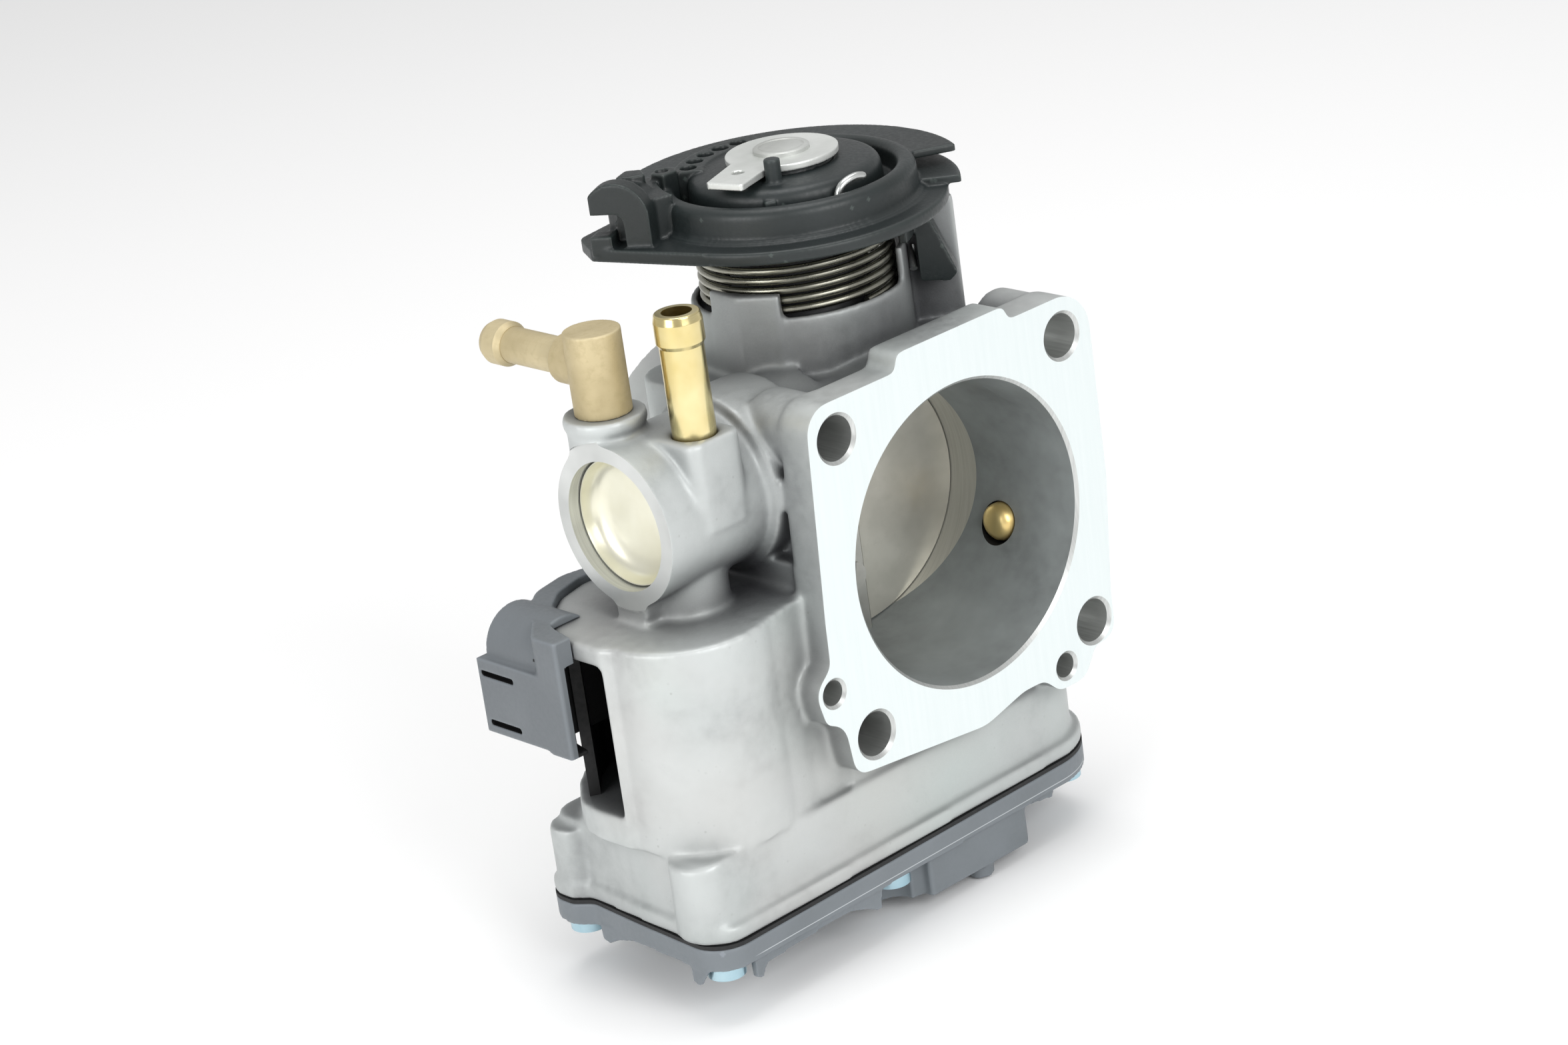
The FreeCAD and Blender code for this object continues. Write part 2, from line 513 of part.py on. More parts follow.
lug2 = extrude([(-19.8, 55.4, 0.4), (-16.4, 57.6, 0.4), (-14.0, 54.6, 0.4), (-15.6, 52.4, 0.4), (-19.2, 52.4, 0.4)], 10.2, "XY", 61.0)
lug2 = cut(lug2, cyl(1.3, 2.0, (-17.0, 55.2, 70.2)))
# raised quadrant with a row of round pockets
arc = ring(21.6, 15.6, 6.6, (0, "shaftY", 63.6), "z", 74.0, 62.0)
arc_holes = [cyl(1.65, 3.0, (18.7 * math.cos(math.radians(t)), sY + 18.7 * math.sin(math.radians(t)), 68.4)) for t in (127.0, 114.0, 101.0, 88.0, 75.0)]
# rest post in front of the washer and the stop lug under the disc
post = cyl(1.6, 12.0, (-10.3, 30.6, 62.6))
post_web = box(2.2, 8.0, 5.0, (0, 0, 0))
post_web.Placement = Placement(Vector(-10.3, 33.2, 63.0), Rotation(Vector(0, 0, 1), 150))
skirt = ring(23.4, 21.9, 6.4, (0, "shaftY", 53.0), "z", 26.0, -65.0)
lug = revolve([(22.4, 59.4, 0), (25.4, 59.4, 0), (31.0, 44.4, 0.8), (29.4, 42.8, 0.8), (23.6, 43.2, 0.6), (23.6, 52.8, 0), (22.4, 53.2, 0)], angle=10.4, start=-50.0)
leg_slot = ring(21.4, 18.9, 16.0, (0, "shaftY", 56.0), "z", 26.0, -96.0)
pulley = cut(fuse(drum, ext, low_wing, up_wing, hook, low_jaw, ridge, link, lug2, arc, post, post_web, skirt, lug), leg_slot, *arc_holes)
node("cable_pulley", pulley)

# washer with its bent tab, and the peened end of the shaft
tab = extrude([(-8.0, 43.2, 0), (-21.6, 37.2, 0.6), (-19.6, 29.3, 0.6), (-4.5, 34.4, 0)], 1.3, "XY", 71.0)
tab_hole = cyl(1.3, 4.0, (-14.2, 36.2, 70.0))
washer = cut(fuse(cyl("washerRadius", 1.3, (0, "shaftY", 71.0)), tab), cyl("shaftRadius", 4.0, (0, "shaftY", 70.0)), tab_hole)
node("shaft_washer", washer)
node("shaft_end_ring", cut(revolve([(3.6, 72.3, 0), (5.56, 72.3, 0), (5.56, 72.8, 0.3), (5.3, 73.2, 0.0), (3.6, 73.2, 0)]), cyl("shaftRadius", 0.7, (0, "shaftY", 72.1))))

# ---------------------------------------------------------------- return spring
wire = V["springWire"]
mean = V["springMean"]
pitch = V["springPitch"]
turns = 6.75
z0 = 44.4
hel = Part.makeHelix(pitch, pitch * turns, mean)
prof = Part.Wire([Part.makeCircle(wire, Vector(mean, 0, 0), Vector(0, 1, 0))])
coil = Part.Wire(hel.Edges).makePipeShell([prof], True, True)
coil.rotate(Vector(0, 0, 0), Vector(0, 0, 1), -90.0)
coil.translate(Vector(0, sY, z0))
shape_feature("return_spring", coil)

# the two bent ends of the spring
leg_arc = torus(20.2, "springWire", (0, "shaftY", 65.2))
leg_arc.Angle3 = 16.0
leg_arc.Placement = Placement(Vector(0, sY, 65.2), Rotation(Vector(0, 0, 1), -93.0))
rise = cyl("springWire", 6.6, (20.2 * math.cos(math.radians(-77.0)), sY + 20.2 * math.sin(math.radians(-77.0)), 58.6))
node("spring_top_leg", fuse(rise, leg_arc))
def polar(r, az, z):
    return Vector(r * math.cos(math.radians(az)), sY + r * math.sin(math.radians(az)), z)


la, lb = polar(22.4, -47.0, 45.6), polar(22.4, -37.4, 49.0)
hook_leg = cyl("springWire", (lb - la).Length, (0, 0, 0))
hook_leg.Placement = Placement(la, Rotation(Vector(0, 0, 1), lb - la))
node("spring_lower_leg", hook_leg)

# ---------------------------------------------------------------- coolant fittings and the bore pin
plug = cut(cyl("barrelBore", 5.4, ("barrelEnd+2.6", "barrelY", "barrelZ"), "x"), cyl("barrelBore-1.0", 4.4, ("barrelEnd+2.5", "barrelY", "barrelZ"), "x"))
node("barrel_plug", plug)
straight = revolve([(2.9, 27.6, 0), (4.2, 27.6, 0), (4.2, 52.6, 0), (4.65, 53.4, 0.3), (4.65, 57.4, 0.6), (4.3, 59.0, 0.4), (2.9, 59.0, 0)], ("nippleX", "nippleY"))
node("straight_nipple", straight)
e_body = fuse(cyl("elbowRadius", 16.2, ("elbowX", "elbowY", 39.6)), cyl(4.5, 6.4, ("elbowX", "elbowY", 33.4)))
e_side = cyl(4.9, 8.4, ("elbowX", "elbowY", 49.0), "y")
e_body = cut(fuse(e_body, e_side), cyl(2.6, 20.0, ("elbowX", "elbowY", 28.0)), cyl("elbowTube", 9.0, ("elbowX", "elbowY+3.4", 49.0), "y"), cyl(2.3, 5.0, ("elbowX", "elbowY", 49.0), "y"))
node("elbow_body", e_body)
e_tube = fuse(cyl("elbowTube", 26.0, ("elbowX", "elbowY+3.4", 49.0), "y"), cone(3.6, 4.35, 1.2, ("elbowX", "elbowY+23.8", 49.0), "y"), cyl(4.35, 3.4, ("elbowX", "elbowY+25.0", 49.0), "y"), cone(4.35, 3.7, 1.4, ("elbowX", "elbowY+28.4", 49.0), "y"))
node("elbow_tube", cut(e_tube, cyl(2.3, 40.0, ("elbowX", "elbowY+2", 49.0), "y")))
pin = fuse(cyl(4.4, 9.0, (27.4, 19.6, -11.2), "x"), cone(3.4, 4.4, 1.0, (26.4, 19.6, -11.2), "x"))
node("bore_pin", pin)

# ---------------------------------------------------------------- connector
outer_pts = [(-80.8, 29.4, 0.6), (-80.8, 36.0, 4.0), (-75.5, 41.8, 4.0), (-71.0, 47.5, 8.0), (-65.5, 53.0, 8.0), (-57.0, 55.0, 6.0), (-48.0, 53.0, 1.0), (-48.0, 50.6, 0),
             (-56.0, 50.8, 6.0), (-63.0, 48.8, 8.0), (-69.0, 44.0, 10.0), (-75.0, 36.8, 8.0), (-76.6, 29.4, 0.0)]
conn_wall = extrude(outer_pts, 23.8, "XY", -22.2)
conn_face = box(2.2, 14.0, 15.3, (-80.8, 31.0, -21.6))
conn_box = box(18.8, 16.6, 15.3, (-80.8, 37.5, -21.6))
conn_dome = cyl(7.7, 15.0, (-71.6, 37.6, -5.6), "y")
thin = extrude([(-78.8, 28.0, 0), (-60.0, 28.0, 0), (-60.0, 37.0, 0), (-78.8, 37.0, 0)], 17.6, "XY", -21.4)
socket = box(14.4, 12.0, 11.8, (-78.4, 43.2, -19.8))
slots_c = [box(2.6, 9.6, 1.2, (-81.4, 43.8, -9.9)), box(2.6, 9.2, 1.2, (-81.4, 43.7, -20.1))]
pin_slots = [box(0.8, 6.0, 2.2, (-77.0 + 3.5 * i, 38.0, -18.8)) for i in range(4)]
conn = cut(cut(fuse(conn_wall, conn_face, conn_box, conn_dome), socket, thin, *(slots_c + pin_slots)), housing)
node("connector_housing", conn)
pins = [box(0.8, 12.6, 2.2, (-77.0 + 3.5 * i, 38.0, -18.8)) for i in range(4)]
node("connector_terminals", fuse(*pins))

# ---------------------------------------------------------------- idle motor and gear train
can = fuse(cyl("motorCan", 38.0, ("motorX", "motorY", -44.8)), cyl(5.0, 1.4, ("motorX", "motorY", -6.8)))
node("idle_motor_can", cut(can, cyl(3.0, 3.0, ("motorX", "motorY", -45.0)), cyl(1.6, 60.0, ("motorX", "motorY", -60.0))))
m_plate_pts = [(mx - 13.5, my - 4.5, 3), (mx, my - 11.0, 3), (mx + 13.5, my - 4.5, 3), (mx + 13.5, my + 4.5, 3), (mx, my + 11.0, 3), (mx - 13.5, my + 4.5, 3)]
node("motor_mounting_plate", body("motor_mounting_plate", m_plate_pts, 1.4, "XY_Plane", -46.2, [(mx, my, 3.4), (mx - 10.5, my, 1.3), (mx + 10.5, my, 1.3)]))
node("motor_mounting_screws", fuse(*[fuse(cyl(2.2, 1.4, (mx + q, my, -47.6)), cyl(1.25, 1.4, (mx + q, my, -46.2))) for q in (-10.5, 10.5)]))


def gear_shape(teeth, m, cx, cy, z, h, phase, bore, arc=None, hub=None, add=0.72, ded=1.05, width=0.40):
    """Straight-sided gear. phase is the azimuth of one tooth's centre, in degrees."""
    rp = teeth * m / 2.0
    ro = rp + add * m
    rr = rp - ded * m
    step = 360.0 / teeth
    pts = []
    idx = range(teeth) if arc is None else range(arc[0], arc[1] + 1)
    half_p = math.degrees(width * math.pi * m / 2.0 / rp)
    half_o = half_p * rp / ro * 0.50
    half_r = half_p * rp / rr * 1.42
    for i in idx:
        a0 = phase + i * step
        for da, r in ((-half_r, rr), (-half_p, rp), (-half_o, ro), (half_o, ro), (half_p, rp), (half_r, rr)):
            t = math.radians(a0 + da)
            pts.append(Vector(cx + r * math.cos(t), cy + r * math.sin(t), z))
    if arc is not None:
        pts.append(Vector(cx, cy, z))
    pts.append(pts[0])
    sol = Part.Face(Part.makePolygon(pts)).extrude(Vector(0, 0, h))
    if hub:
        sol = sol.fuse(Part.makeCylinder(hub, h, Vector(cx, cy, z)))
    sol = sol.cut(Part.makeCylinder(bore, h + 40, Vector(cx, cy, z - 20)))
    return sol


gm = V["gearModule"]
Mv, Iv, Sv = Vector(mx, my, 0), Vector(ax_x, ax_y, 0), Vector(0, sY, 0)
az_MI = math.degrees(math.atan2(Iv.y - Mv.y, Iv.x - Mv.x))
az_IM = az_MI + 180.0
az_IS = math.degrees(math.atan2(Sv.y - Iv.y, Sv.x - Iv.x))
az_SI = az_IS + 180.0
pinion = gear_shape(10, gm, mx, my, -55.4, 8.0, az_MI, 1.2)
shape_feature("motor_pinion", pinion)
node("motor_shaft", cyl(1.2, 49.0, ("motorX", "motorY", -56.4)))
big = gear_shape(34, gm, ax_x, ax_y, -53.6, 3.8, az_IM + 180.0 / 34.0, 2.05)
small = gear_shape(12, gm, ax_x, ax_y, -59.6, 6.0, az_IS, 2.05)
shape_feature("intermediate_gear", big.fuse(small).removeSplitter())
node("gear_axle", cyl(2.0, 19.0, (ax_x, ax_y, -60.4)))
sector = gear_shape(64, gm, 0, sY, -58.4, 3.2, az_SI + 180.0 / 64.0, 4.05, arc=(-2, 5), hub=9.0)
dog_az = -66.0
arm = Part.makeBox(18.0, 6.0, 3.2, Vector(0, -3.0, 0))
arm.rotate(Vector(0, 0, 0), Vector(0, 0, 1), dog_az)
arm.translate(Vector(0, sY, -58.4))
dogv = Vector(15.5 * math.cos(math.radians(dog_az)), sY + 15.5 * math.sin(math.radians(dog_az)), -58.4)
dog = Part.makeCylinder(1.7, 8.0, dogv)
windows = Part.makeCylinder(2.6, 8.0, Vector(22.0 * math.cos(math.radians(az_SI)), sY + 22.0 * math.sin(math.radians(az_SI)), -60.0)).fuse(
    Part.makeCylinder(2.6, 8.0, Vector(22.0 * math.cos(math.radians(az_SI + 18)), sY + 22.0 * math.sin(math.radians(az_SI + 18)), -60.0)))
sector = sector.fuse(arm).fuse(dog).cut(windows).cut(Part.makeCylinder(4.05, 20.0, Vector(0, sY, -64.0))).removeSplitter()
shape_feature("idle_sector_gear", sector)
lv = math.radians(-100.0)
lever_arm = extrude([(0, -3.0, 0), (17.6, -2.6, 1.0), (17.6, 2.6, 1.0), (0, 3.0, 0)], 2.6, "XY", -53.4)
place(lever_arm.Base, (0, "shaftY", -53.4), Rotation(Vector(0, 0, 1), -100.0))
lever = cut(fuse(cyl(8.0, 4.8, (0, "shaftY", -53.4)), lever_arm), cyl("shaftTail", 12.0, (0, "shaftY", -58.0)))
node("throttle_lever", lever)
node("sector_retaining_clip", ring(6.4, 4.0, 0.9, (0, "shaftY", -59.5)))

# ---------------------------------------------------------------- sensor in the cover
wiper_arm = extrude([(0, -2.2, 0), (14.0, -1.4, 1.0), (14.0, 1.4, 1.0), (0, 2.2, 0)], 1.2, "XY", -63.6)
place(wiper_arm.Base, (0, "shaftY", -63.6), Rotation(Vector(0, 0, 1), 60.0))
node("sensor_wiper", cut(fuse(cyl(6.2, 3.0, (0, "shaftY", -63.6)), wiper_arm), cyl("shaftTail", 12.0, (0, "shaftY", -70.0))))
node("sensor_board", body("sensor_board", [(-17.5, 20.5, 3), (13.0, 20.5, 3), (13.0, 53.5, 3), (-17.5, 53.5, 3)], 1.4, "XY_Plane", -67.6, []))

# ---------------------------------------------------------------- seal, cover and screws
inset = [(-76.8, 2.4, 6.4), (35.2, 2.4, 7.4), (35.2, 54.6, 14.4), (19.7, 65.2, 11.4), (-29.6, 65.2, 7.6), (-41.6, 51.7, 7.6), (-76.8, 51.7, 6.2)]
seal_in = [(-71.2, 13.0, 3.8), (-64.3, 8.0, 3.0), (-29.1, 8.0, 1.0), (-29.1, 10.8, 1.5), (-21.9, 10.8, 1.5), (-21.9, 8.0, 1.0), (22.8, 8.0, 2.0), (22.8, 15.2, 4.0), (29.6, 17.2, 4.0), (29.6, 49.8, 9.8), (16.8, 59.6, 8.8), (-24.4, 59.6, 3.0),
           (-24.4, 58.4, 3.0), (-37.4, 47.0, 4.0), (-65.8, 47.0, 3.0), (-65.8, 39.3, 3.0), (-71.2, 39.3, 3.0)]
seal = cut(extrude(lip_pts, "sealThick", "XY", "baseBottom-sealThick"), extrude(seal_in, 4.0, "XY", "baseBottom-2.4"),
           *[cyl(1.95, 6.0, (x, y, -60.0)) for x, y in screws_at])
node("cover_seal", seal)
ct = V["baseBottom"] - V["sealThick"]
band = extrude(lip_pts, "coverBand", "XY", ct - V["coverBand"])
hollow = extrude(seal_in, 3.4, "XY", ct - 3.0)
zc = ct - V["coverBand"]
deep_out = extrude([(-18.0, 4.2, 0.6), (9.8, 4.2, 2.5), (18.8, 22.0, 8.0), (18.8, 58.0, 9.0), (-20.0, 58.0, 9.0), (-23.5, 40.0, 12.0), (-27.5, 14.0, 3.0), (-27.5, 8.4, 2.0), (-18.0, 6.5, 0)],
                   9.4, "XY", ct - V["coverBand"] - 8.6)
deep_in = extrude([(-18.6, 14.0, 4.0), (12.0, 12.0, 4.0), (16.2, 24.0, 6.0), (16.2, 55.4, 7.0), (-17.6, 55.4, 7.0), (-20.8, 39.6, 10.0), (-22.0, 18.0, 4.0)], 12.0, "XY", ct - V["coverBand"] - 6.0)
dish = cyl(2.7, 4.0, (-1.6, 7.4, zc - 11.2))
front_rib = extrude([(-66.2, zc + 0.6, 0), (-66.0, -67.0, 0.3), (-64.4, -67.4, 0.4), (-63.2, -65.2, 1.0), (-57.0, -64.7, 3.0), (-45.0, -64.2, 3.0), (-40.0, -64.4, 2.0), (-36.5, -65.6, 1.0),
                     (-34.0, -66.9, 0.3), (-32.6, -67.0, 0.2), (-32.2, zc + 0.6, 0)], 1.6, "XZ", 4.4)
right_rib = extrude([(9.0, zc + 0.6, 0), (9.0, -63.6, 0), (18.2, -65.0, 0.3), (18.8, zc + 0.6, 0)], 1.6, "XZ", 6.4)
left_fin = extrude([(38.6, zc + 0.6, 0), (38.4, -65.2, 0.3), (36.6, -65.7, 0.4), (33.5, -64.2, 1.5), (30.0, -63.4, 2.0), (26.5, zc + 0.6, 0)], 1.6, "YZ", -73.8)
corner_fin = extrude([(11.4, zc + 0.6, 0), (11.2, -66.2, 0.3), (9.6, -66.8, 0.3), (7.6, -64.6, 1.0), (6.0, zc + 0.6, 0)], 1.6, "YZ", -74.8)
back_ribs = [box(22.0, 1.6, 2.4, (-66.0, 48.6, zc - 2.2)), box(1.6, 28.0, 2.4, (30.4, 20.0, zc - 2.2))]
ribs = [front_rib, right_rib, left_fin, corner_fin] + back_ribs
s_holes = [cyl(1.95, 30.0, (x, y, -80.0)) for x, y in screws_at]
s_rooms = [cyl(4.6, 12.0, (x, y, zc - 12.0)) for x, y in screws_at]
cover = cut(fuse(band, deep_out, dish, *ribs), hollow, deep_in, *(s_holes + s_rooms))
node("bottom_cover", cover)
sc = []
for x, y in screws_at:
    sc.append(cut(fuse(cyl(3.7, 2.6, (x, y, zc - 2.6)), cyl(1.9, 14.0, (x, y, zc))), cyl(1.5, 1.6, (x, y, zc - 3.0))))
node("cover_screws", fuse(*sc))

# ---------------------------------------------------------------- check and write
doc.recompute()
bad = []
for o in doc.Objects:
    st = [q for q in o.State if q in ("Invalid", "Error")]
    if st:
        bad.append((o.Name, o.Label, o.State))
if bad:
    raise RuntimeError("failed objects: %s" % bad)
os.makedirs("parts", exist_ok=True)
for name, o in NODES.items():
    sh = o.Shape
    if sh.isNull() or not sh.isValid():
        raise RuntimeError("bad shape: " + name)
    sh.exportStep(os.path.join("parts", name + ".step"))
    print("%-24s solids %2d  faces %4d  volume %10.1f" % (name, len(sh.Solids), len(sh.Faces), sh.Volume))
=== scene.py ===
import bpy
import bmesh
import math
import numpy as np
from mathutils import Matrix, Vector, noise


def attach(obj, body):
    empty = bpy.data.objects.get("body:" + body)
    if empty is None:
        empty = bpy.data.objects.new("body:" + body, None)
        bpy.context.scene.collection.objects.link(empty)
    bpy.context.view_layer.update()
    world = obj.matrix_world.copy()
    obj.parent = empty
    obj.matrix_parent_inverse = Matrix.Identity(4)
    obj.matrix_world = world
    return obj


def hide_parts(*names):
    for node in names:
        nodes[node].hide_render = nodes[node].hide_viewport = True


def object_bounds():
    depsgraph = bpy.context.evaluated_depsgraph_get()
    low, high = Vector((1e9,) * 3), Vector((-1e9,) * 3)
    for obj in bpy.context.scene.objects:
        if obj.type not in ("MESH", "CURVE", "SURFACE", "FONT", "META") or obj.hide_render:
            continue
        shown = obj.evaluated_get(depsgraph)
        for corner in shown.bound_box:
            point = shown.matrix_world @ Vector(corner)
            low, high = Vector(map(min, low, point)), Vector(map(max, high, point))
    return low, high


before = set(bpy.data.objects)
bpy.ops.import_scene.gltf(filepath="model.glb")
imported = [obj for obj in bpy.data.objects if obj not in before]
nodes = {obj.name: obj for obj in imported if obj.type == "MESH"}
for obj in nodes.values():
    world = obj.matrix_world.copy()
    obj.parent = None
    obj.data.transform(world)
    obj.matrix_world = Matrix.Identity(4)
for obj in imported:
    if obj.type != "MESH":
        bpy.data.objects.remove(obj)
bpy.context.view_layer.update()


MM = 0.001
scene = bpy.context.scene
SY = 39.1          # shaft axis, mm behind the flange face


# ------------------------------------------------------------------ materials
def rgb(h):
    """sRGB hex to linear."""
    out = []
    for i in (0, 2, 4):
        c = int(h[i:i + 2], 16) / 255.0
        out.append(c / 12.92 if c <= 0.04045 else ((c + 0.055) / 1.055) ** 2.4)
    return (*out, 1.0)


class Mat:
    """Small helper that builds a Principled material from node calls."""

    def __init__(self, name):
        self.m = bpy.data.materials.new(name)
        self.m.use_nodes = True
        self.t = self.m.node_tree
        self.t.nodes.clear()
        self.out = self.t.nodes.new("ShaderNodeOutputMaterial")
        self.p = self.t.nodes.new("ShaderNodeBsdfPrincipled")
        self.t.links.new(self.p.outputs[0], self.out.inputs[0])
        self.co = self.t.nodes.new("ShaderNodeTexCoord").outputs["Object"]

    def set(self, sock, value):
        if hasattr(value, "links") or isinstance(value, bpy.types.NodeSocket):
            self.t.links.new(value, sock)
        else:
            sock.default_value = value

    def noise(self, scale, detail=3.0, rough=0.55, vec=None, distort=0.0):
        n = self.t.nodes.new("ShaderNodeTexNoise")
        n.inputs["Scale"].default_value = scale
        n.inputs["Detail"].default_value = detail
        n.inputs["Roughness"].default_value = rough
        n.inputs["Distortion"].default_value = distort
        self.t.links.new(vec or self.co, n.inputs["Vector"])
        return n.outputs["Fac"]

    def voronoi(self, scale, vec=None, feature="F1"):
        n = self.t.nodes.new("ShaderNodeTexVoronoi")
        n.feature = feature
        n.inputs["Scale"].default_value = scale
        self.t.links.new(vec or self.co, n.inputs["Vector"])
        return n.outputs["Distance"]

    def ramp(self, fac, stops, interp="LINEAR"):
        n = self.t.nodes.new("ShaderNodeValToRGB")
        n.color_ramp.interpolation = interp
        e = n.color_ramp.elements
        while len(e) < len(stops):
            e.new(0.5)
        for el, (pos, col) in zip(e, stops):
            el.position = pos
            el.color = col if isinstance(col, tuple) else (col, col, col, 1.0)
        self.set(n.inputs["Fac"], fac)
        return n.outputs["Color"]

    def mix(self, fac, a, b, mode="MIX"):
        n = self.t.nodes.new("ShaderNodeMix")
        n.data_type = "RGBA"
        n.blend_type = mode
        self.set(n.inputs["Factor"], fac)
        self.set(n.inputs["A"] if False else n.inputs[6], a)
        self.set(n.inputs[7], b)
        return n.outputs[2]

    def math(self, op, a, b=0.0, clamp=False):
        n = self.t.nodes.new("ShaderNodeMath")
        n.operation = op
        n.use_clamp = clamp
        self.set(n.inputs[0], a)
        self.set(n.inputs[1], b)
        return n.outputs[0]

    def map(self, v, a, b, c=0.0, d=1.0):
        n = self.t.nodes.new("ShaderNodeMapRange")
        self.set(n.inputs["Value"], v)
        n.inputs["From Min"].default_value = a
        n.inputs["From Max"].default_value = b
        n.inputs["To Min"].default_value = c
        n.inputs["To Max"].default_value = d
        return n.outputs["Result"]

    def scaled(self, sx, sy, sz, rot=(0, 0, 0)):
        n = self.t.nodes.new("ShaderNodeMapping")
        n.inputs["Scale"].default_value = (sx, sy, sz)
        n.inputs["Rotation"].default_value = rot
        self.t.links.new(self.co, n.inputs["Vector"])
        return n.outputs["Vector"]

    def sep(self):
        n = self.t.nodes.new("ShaderNodeSeparateXYZ")
        self.t.links.new(self.co, n.inputs[0])
        return n.outputs

    def bump(self, height, strength, dist, normal=None):
        n = self.t.nodes.new("ShaderNodeBump")
        n.inputs["Strength"].default_value = strength
        n.inputs["Distance"].default_value = dist
        self.t.links.new(height, n.inputs["Height"])
        if normal is not None:
            self.t.links.new(normal, n.inputs["Normal"])
        return n.outputs["Normal"]

    def edge(self):
        """Convexity of the mesh, from the geometry's pointiness."""
        n = self.t.nodes.new("ShaderNodeNewGeometry")
        return n.outputs["Pointiness"]

    def ao(self, dist, samples=4):
        n = self.t.nodes.new("ShaderNodeAmbientOcclusion")
        n.samples = samples
        n.inputs["Distance"].default_value = dist
        return n.outputs["AO"]

    def done(self, color, rough, metal=0.0, normal=None, spec=None, coat=None, aniso=None, sheen=None):
        self.set(self.p.inputs["Base Color"], color)
        self.set(self.p.inputs["Roughness"], rough)
        self.set(self.p.inputs["Metallic"], metal)
        if normal is not None:
            self.t.links.new(normal, self.p.inputs["Normal"])
        if spec is not None:
            self.p.inputs["Specular IOR Level"].default_value = spec
        if coat is not None:
            self.p.inputs["Coat Weight"].default_value = coat[0]
            self.p.inputs["Coat Roughness"].default_value = coat[1]
        if aniso is not None:
            self.p.inputs["Anisotropic"].default_value = aniso
        return self.m


def cast_metal(name, light, mid, dark, rough=(0.40, 0.58), grain=1.0, metal=0.35, recess_shade_col="4a4b4e"):
    """Die-cast aluminium: mottled, faintly tinted, with a fine sandy skin, a few pits, painted shade in recesses and
    under parts, and a painted highlight on convex edges.
    """
    m = Mat(name)
    big = m.noise(38.0, 4.0, 0.6)
    small = m.noise(420.0, 4.0, 0.65)
    fine = m.noise(2600.0, 2.0, 0.6)
    base = m.ramp(big, [(0.30, dark), (0.48, mid), (0.66, light)])
    base = m.mix(m.map(small, 0.35, 0.75, 0.0, 0.40), base, light)
    tint = m.noise(26.0, 2.0, 0.5, m.scaled(1.0, 1.3, 0.8))
    base = m.mix(m.map(tint, 0.48, 0.72, 0.0, 0.38), base, rgb("c3d0cb"))
    warm = m.noise(17.0, 2.0, 0.5, m.scaled(0.8, 1.0, 1.4))
    base = m.mix(m.map(warm, 0.52, 0.75, 0.0, 0.30), base, rgb("cfc6c2"))
    # painted shade: ambient occlusion darkens recesses and undersides toward a dark grey, with a little random mottle
    # mixed in
    shade_in = m.ao(0.034, 8)
    shade_and_mottle = m.math("ADD", m.map(shade_in, 0.22, 0.94, 0.95, 0.0), m.map(big, 0.3, 0.7, -0.10, 0.10), True)
    base = m.mix(shade_and_mottle, base, rgb(recess_shade_col))
    # painted highlight: convex edges lightened toward a pale grey
    edge = m.map(m.edge(), 0.515, 0.60, 0.0, 0.45)
    base = m.mix(edge, base, rgb("e4e6e5"))
    pits = m.math("MULTIPLY", m.map(m.voronoi(620.0), 0.0, 0.22, 1.0, 0.0), m.map(m.noise(150.0, 2.0), 0.58, 0.7))
    base = m.mix(m.math("MULTIPLY", pits, 0.35), base, rgb("6d6c68"))
    r = m.map(small, 0.3, 0.7, rough[0], rough[1])
    nrm = m.bump(fine, 0.25 * grain, 0.00006)
    nrm = m.bump(small, 0.30 * grain, 0.00014, nrm)
    nrm = m.bump(big, 0.30, 0.0007, nrm)
    return m.done(base, r, metal, nrm)


def milled_metal(name, col, col2, rough, direction, metal=0.9, strength=0.15, wave=5200.0):
    """Face-milled or bored metal with fine parallel tool marks."""
    m = Mat(name)
    streak = m.noise(1.0, 3.0, 0.6, m.scaled(*direction))
    blot = m.noise(60.0, 3.0, 0.5)
    base = m.mix(m.map(streak, 0.3, 0.7), col, col2)
    base = m.mix(m.map(blot, 0.4, 0.75, 0.0, 0.25), base, col2)
    r = m.map(streak, 0.3, 0.7, rough[0], rough[1])
    nrm = m.bump(streak, strength, 0.00003)
    return m.done(base, r, metal, nrm)


MAT = {}
MAT["cast"] = cast_metal("cast_aluminium_skin", rgb("c9cdcc"), rgb("b7bbba"), rgb("989b9b"))
MAT["milled"] = milled_metal("milled_flange_face", rgb("e1e8e8"), rgb("dde5e5"), (0.36, 0.44), (900.0, 900.0, 40.0), 0.4, 0.05)


def bore_skin():
    """Cast wall of the tapered mouth: an even grey kept darker than the outer casting as painted shade inside the bore,
    with faint blotches and a fine grain.
    """
    m = Mat("bore_cast_skin")
    big = m.noise(46.0, 4.0, 0.6)
    small = m.noise(420.0, 4.0, 0.65)
    base = m.ramp(big, [(0.30, rgb("7a7e7e")), (0.50, rgb("919696")), (0.68, rgb("a3a9a9"))])
    base = m.mix(m.map(small, 0.35, 0.75, 0.0, 0.35), base, rgb("a2a9a8"))
    nrm = m.bump(small, 0.2, 0.0001)
    return m.done(base, m.map(small, 0.3, 0.7, 0.40, 0.54), 0.3, nrm)


# painted shade: the bore wall is a darker copy of the cast aluminium
MAT["bore_cast"] = bore_skin()
MAT["bore_milled"] = milled_metal("bore_turned_band", rgb("d3d2ca"), rgb("c4c3ba"), (0.30, 0.38), (60.0, 2600.0, 60.0), 0.6, 0.08)
MAT["turned"] = milled_metal("turned_aluminium", rgb("d9dbd9"), rgb("c2c4c2"), (0.28, 0.4), (2600.0, 60.0, 60.0), 0.8, 0.2)


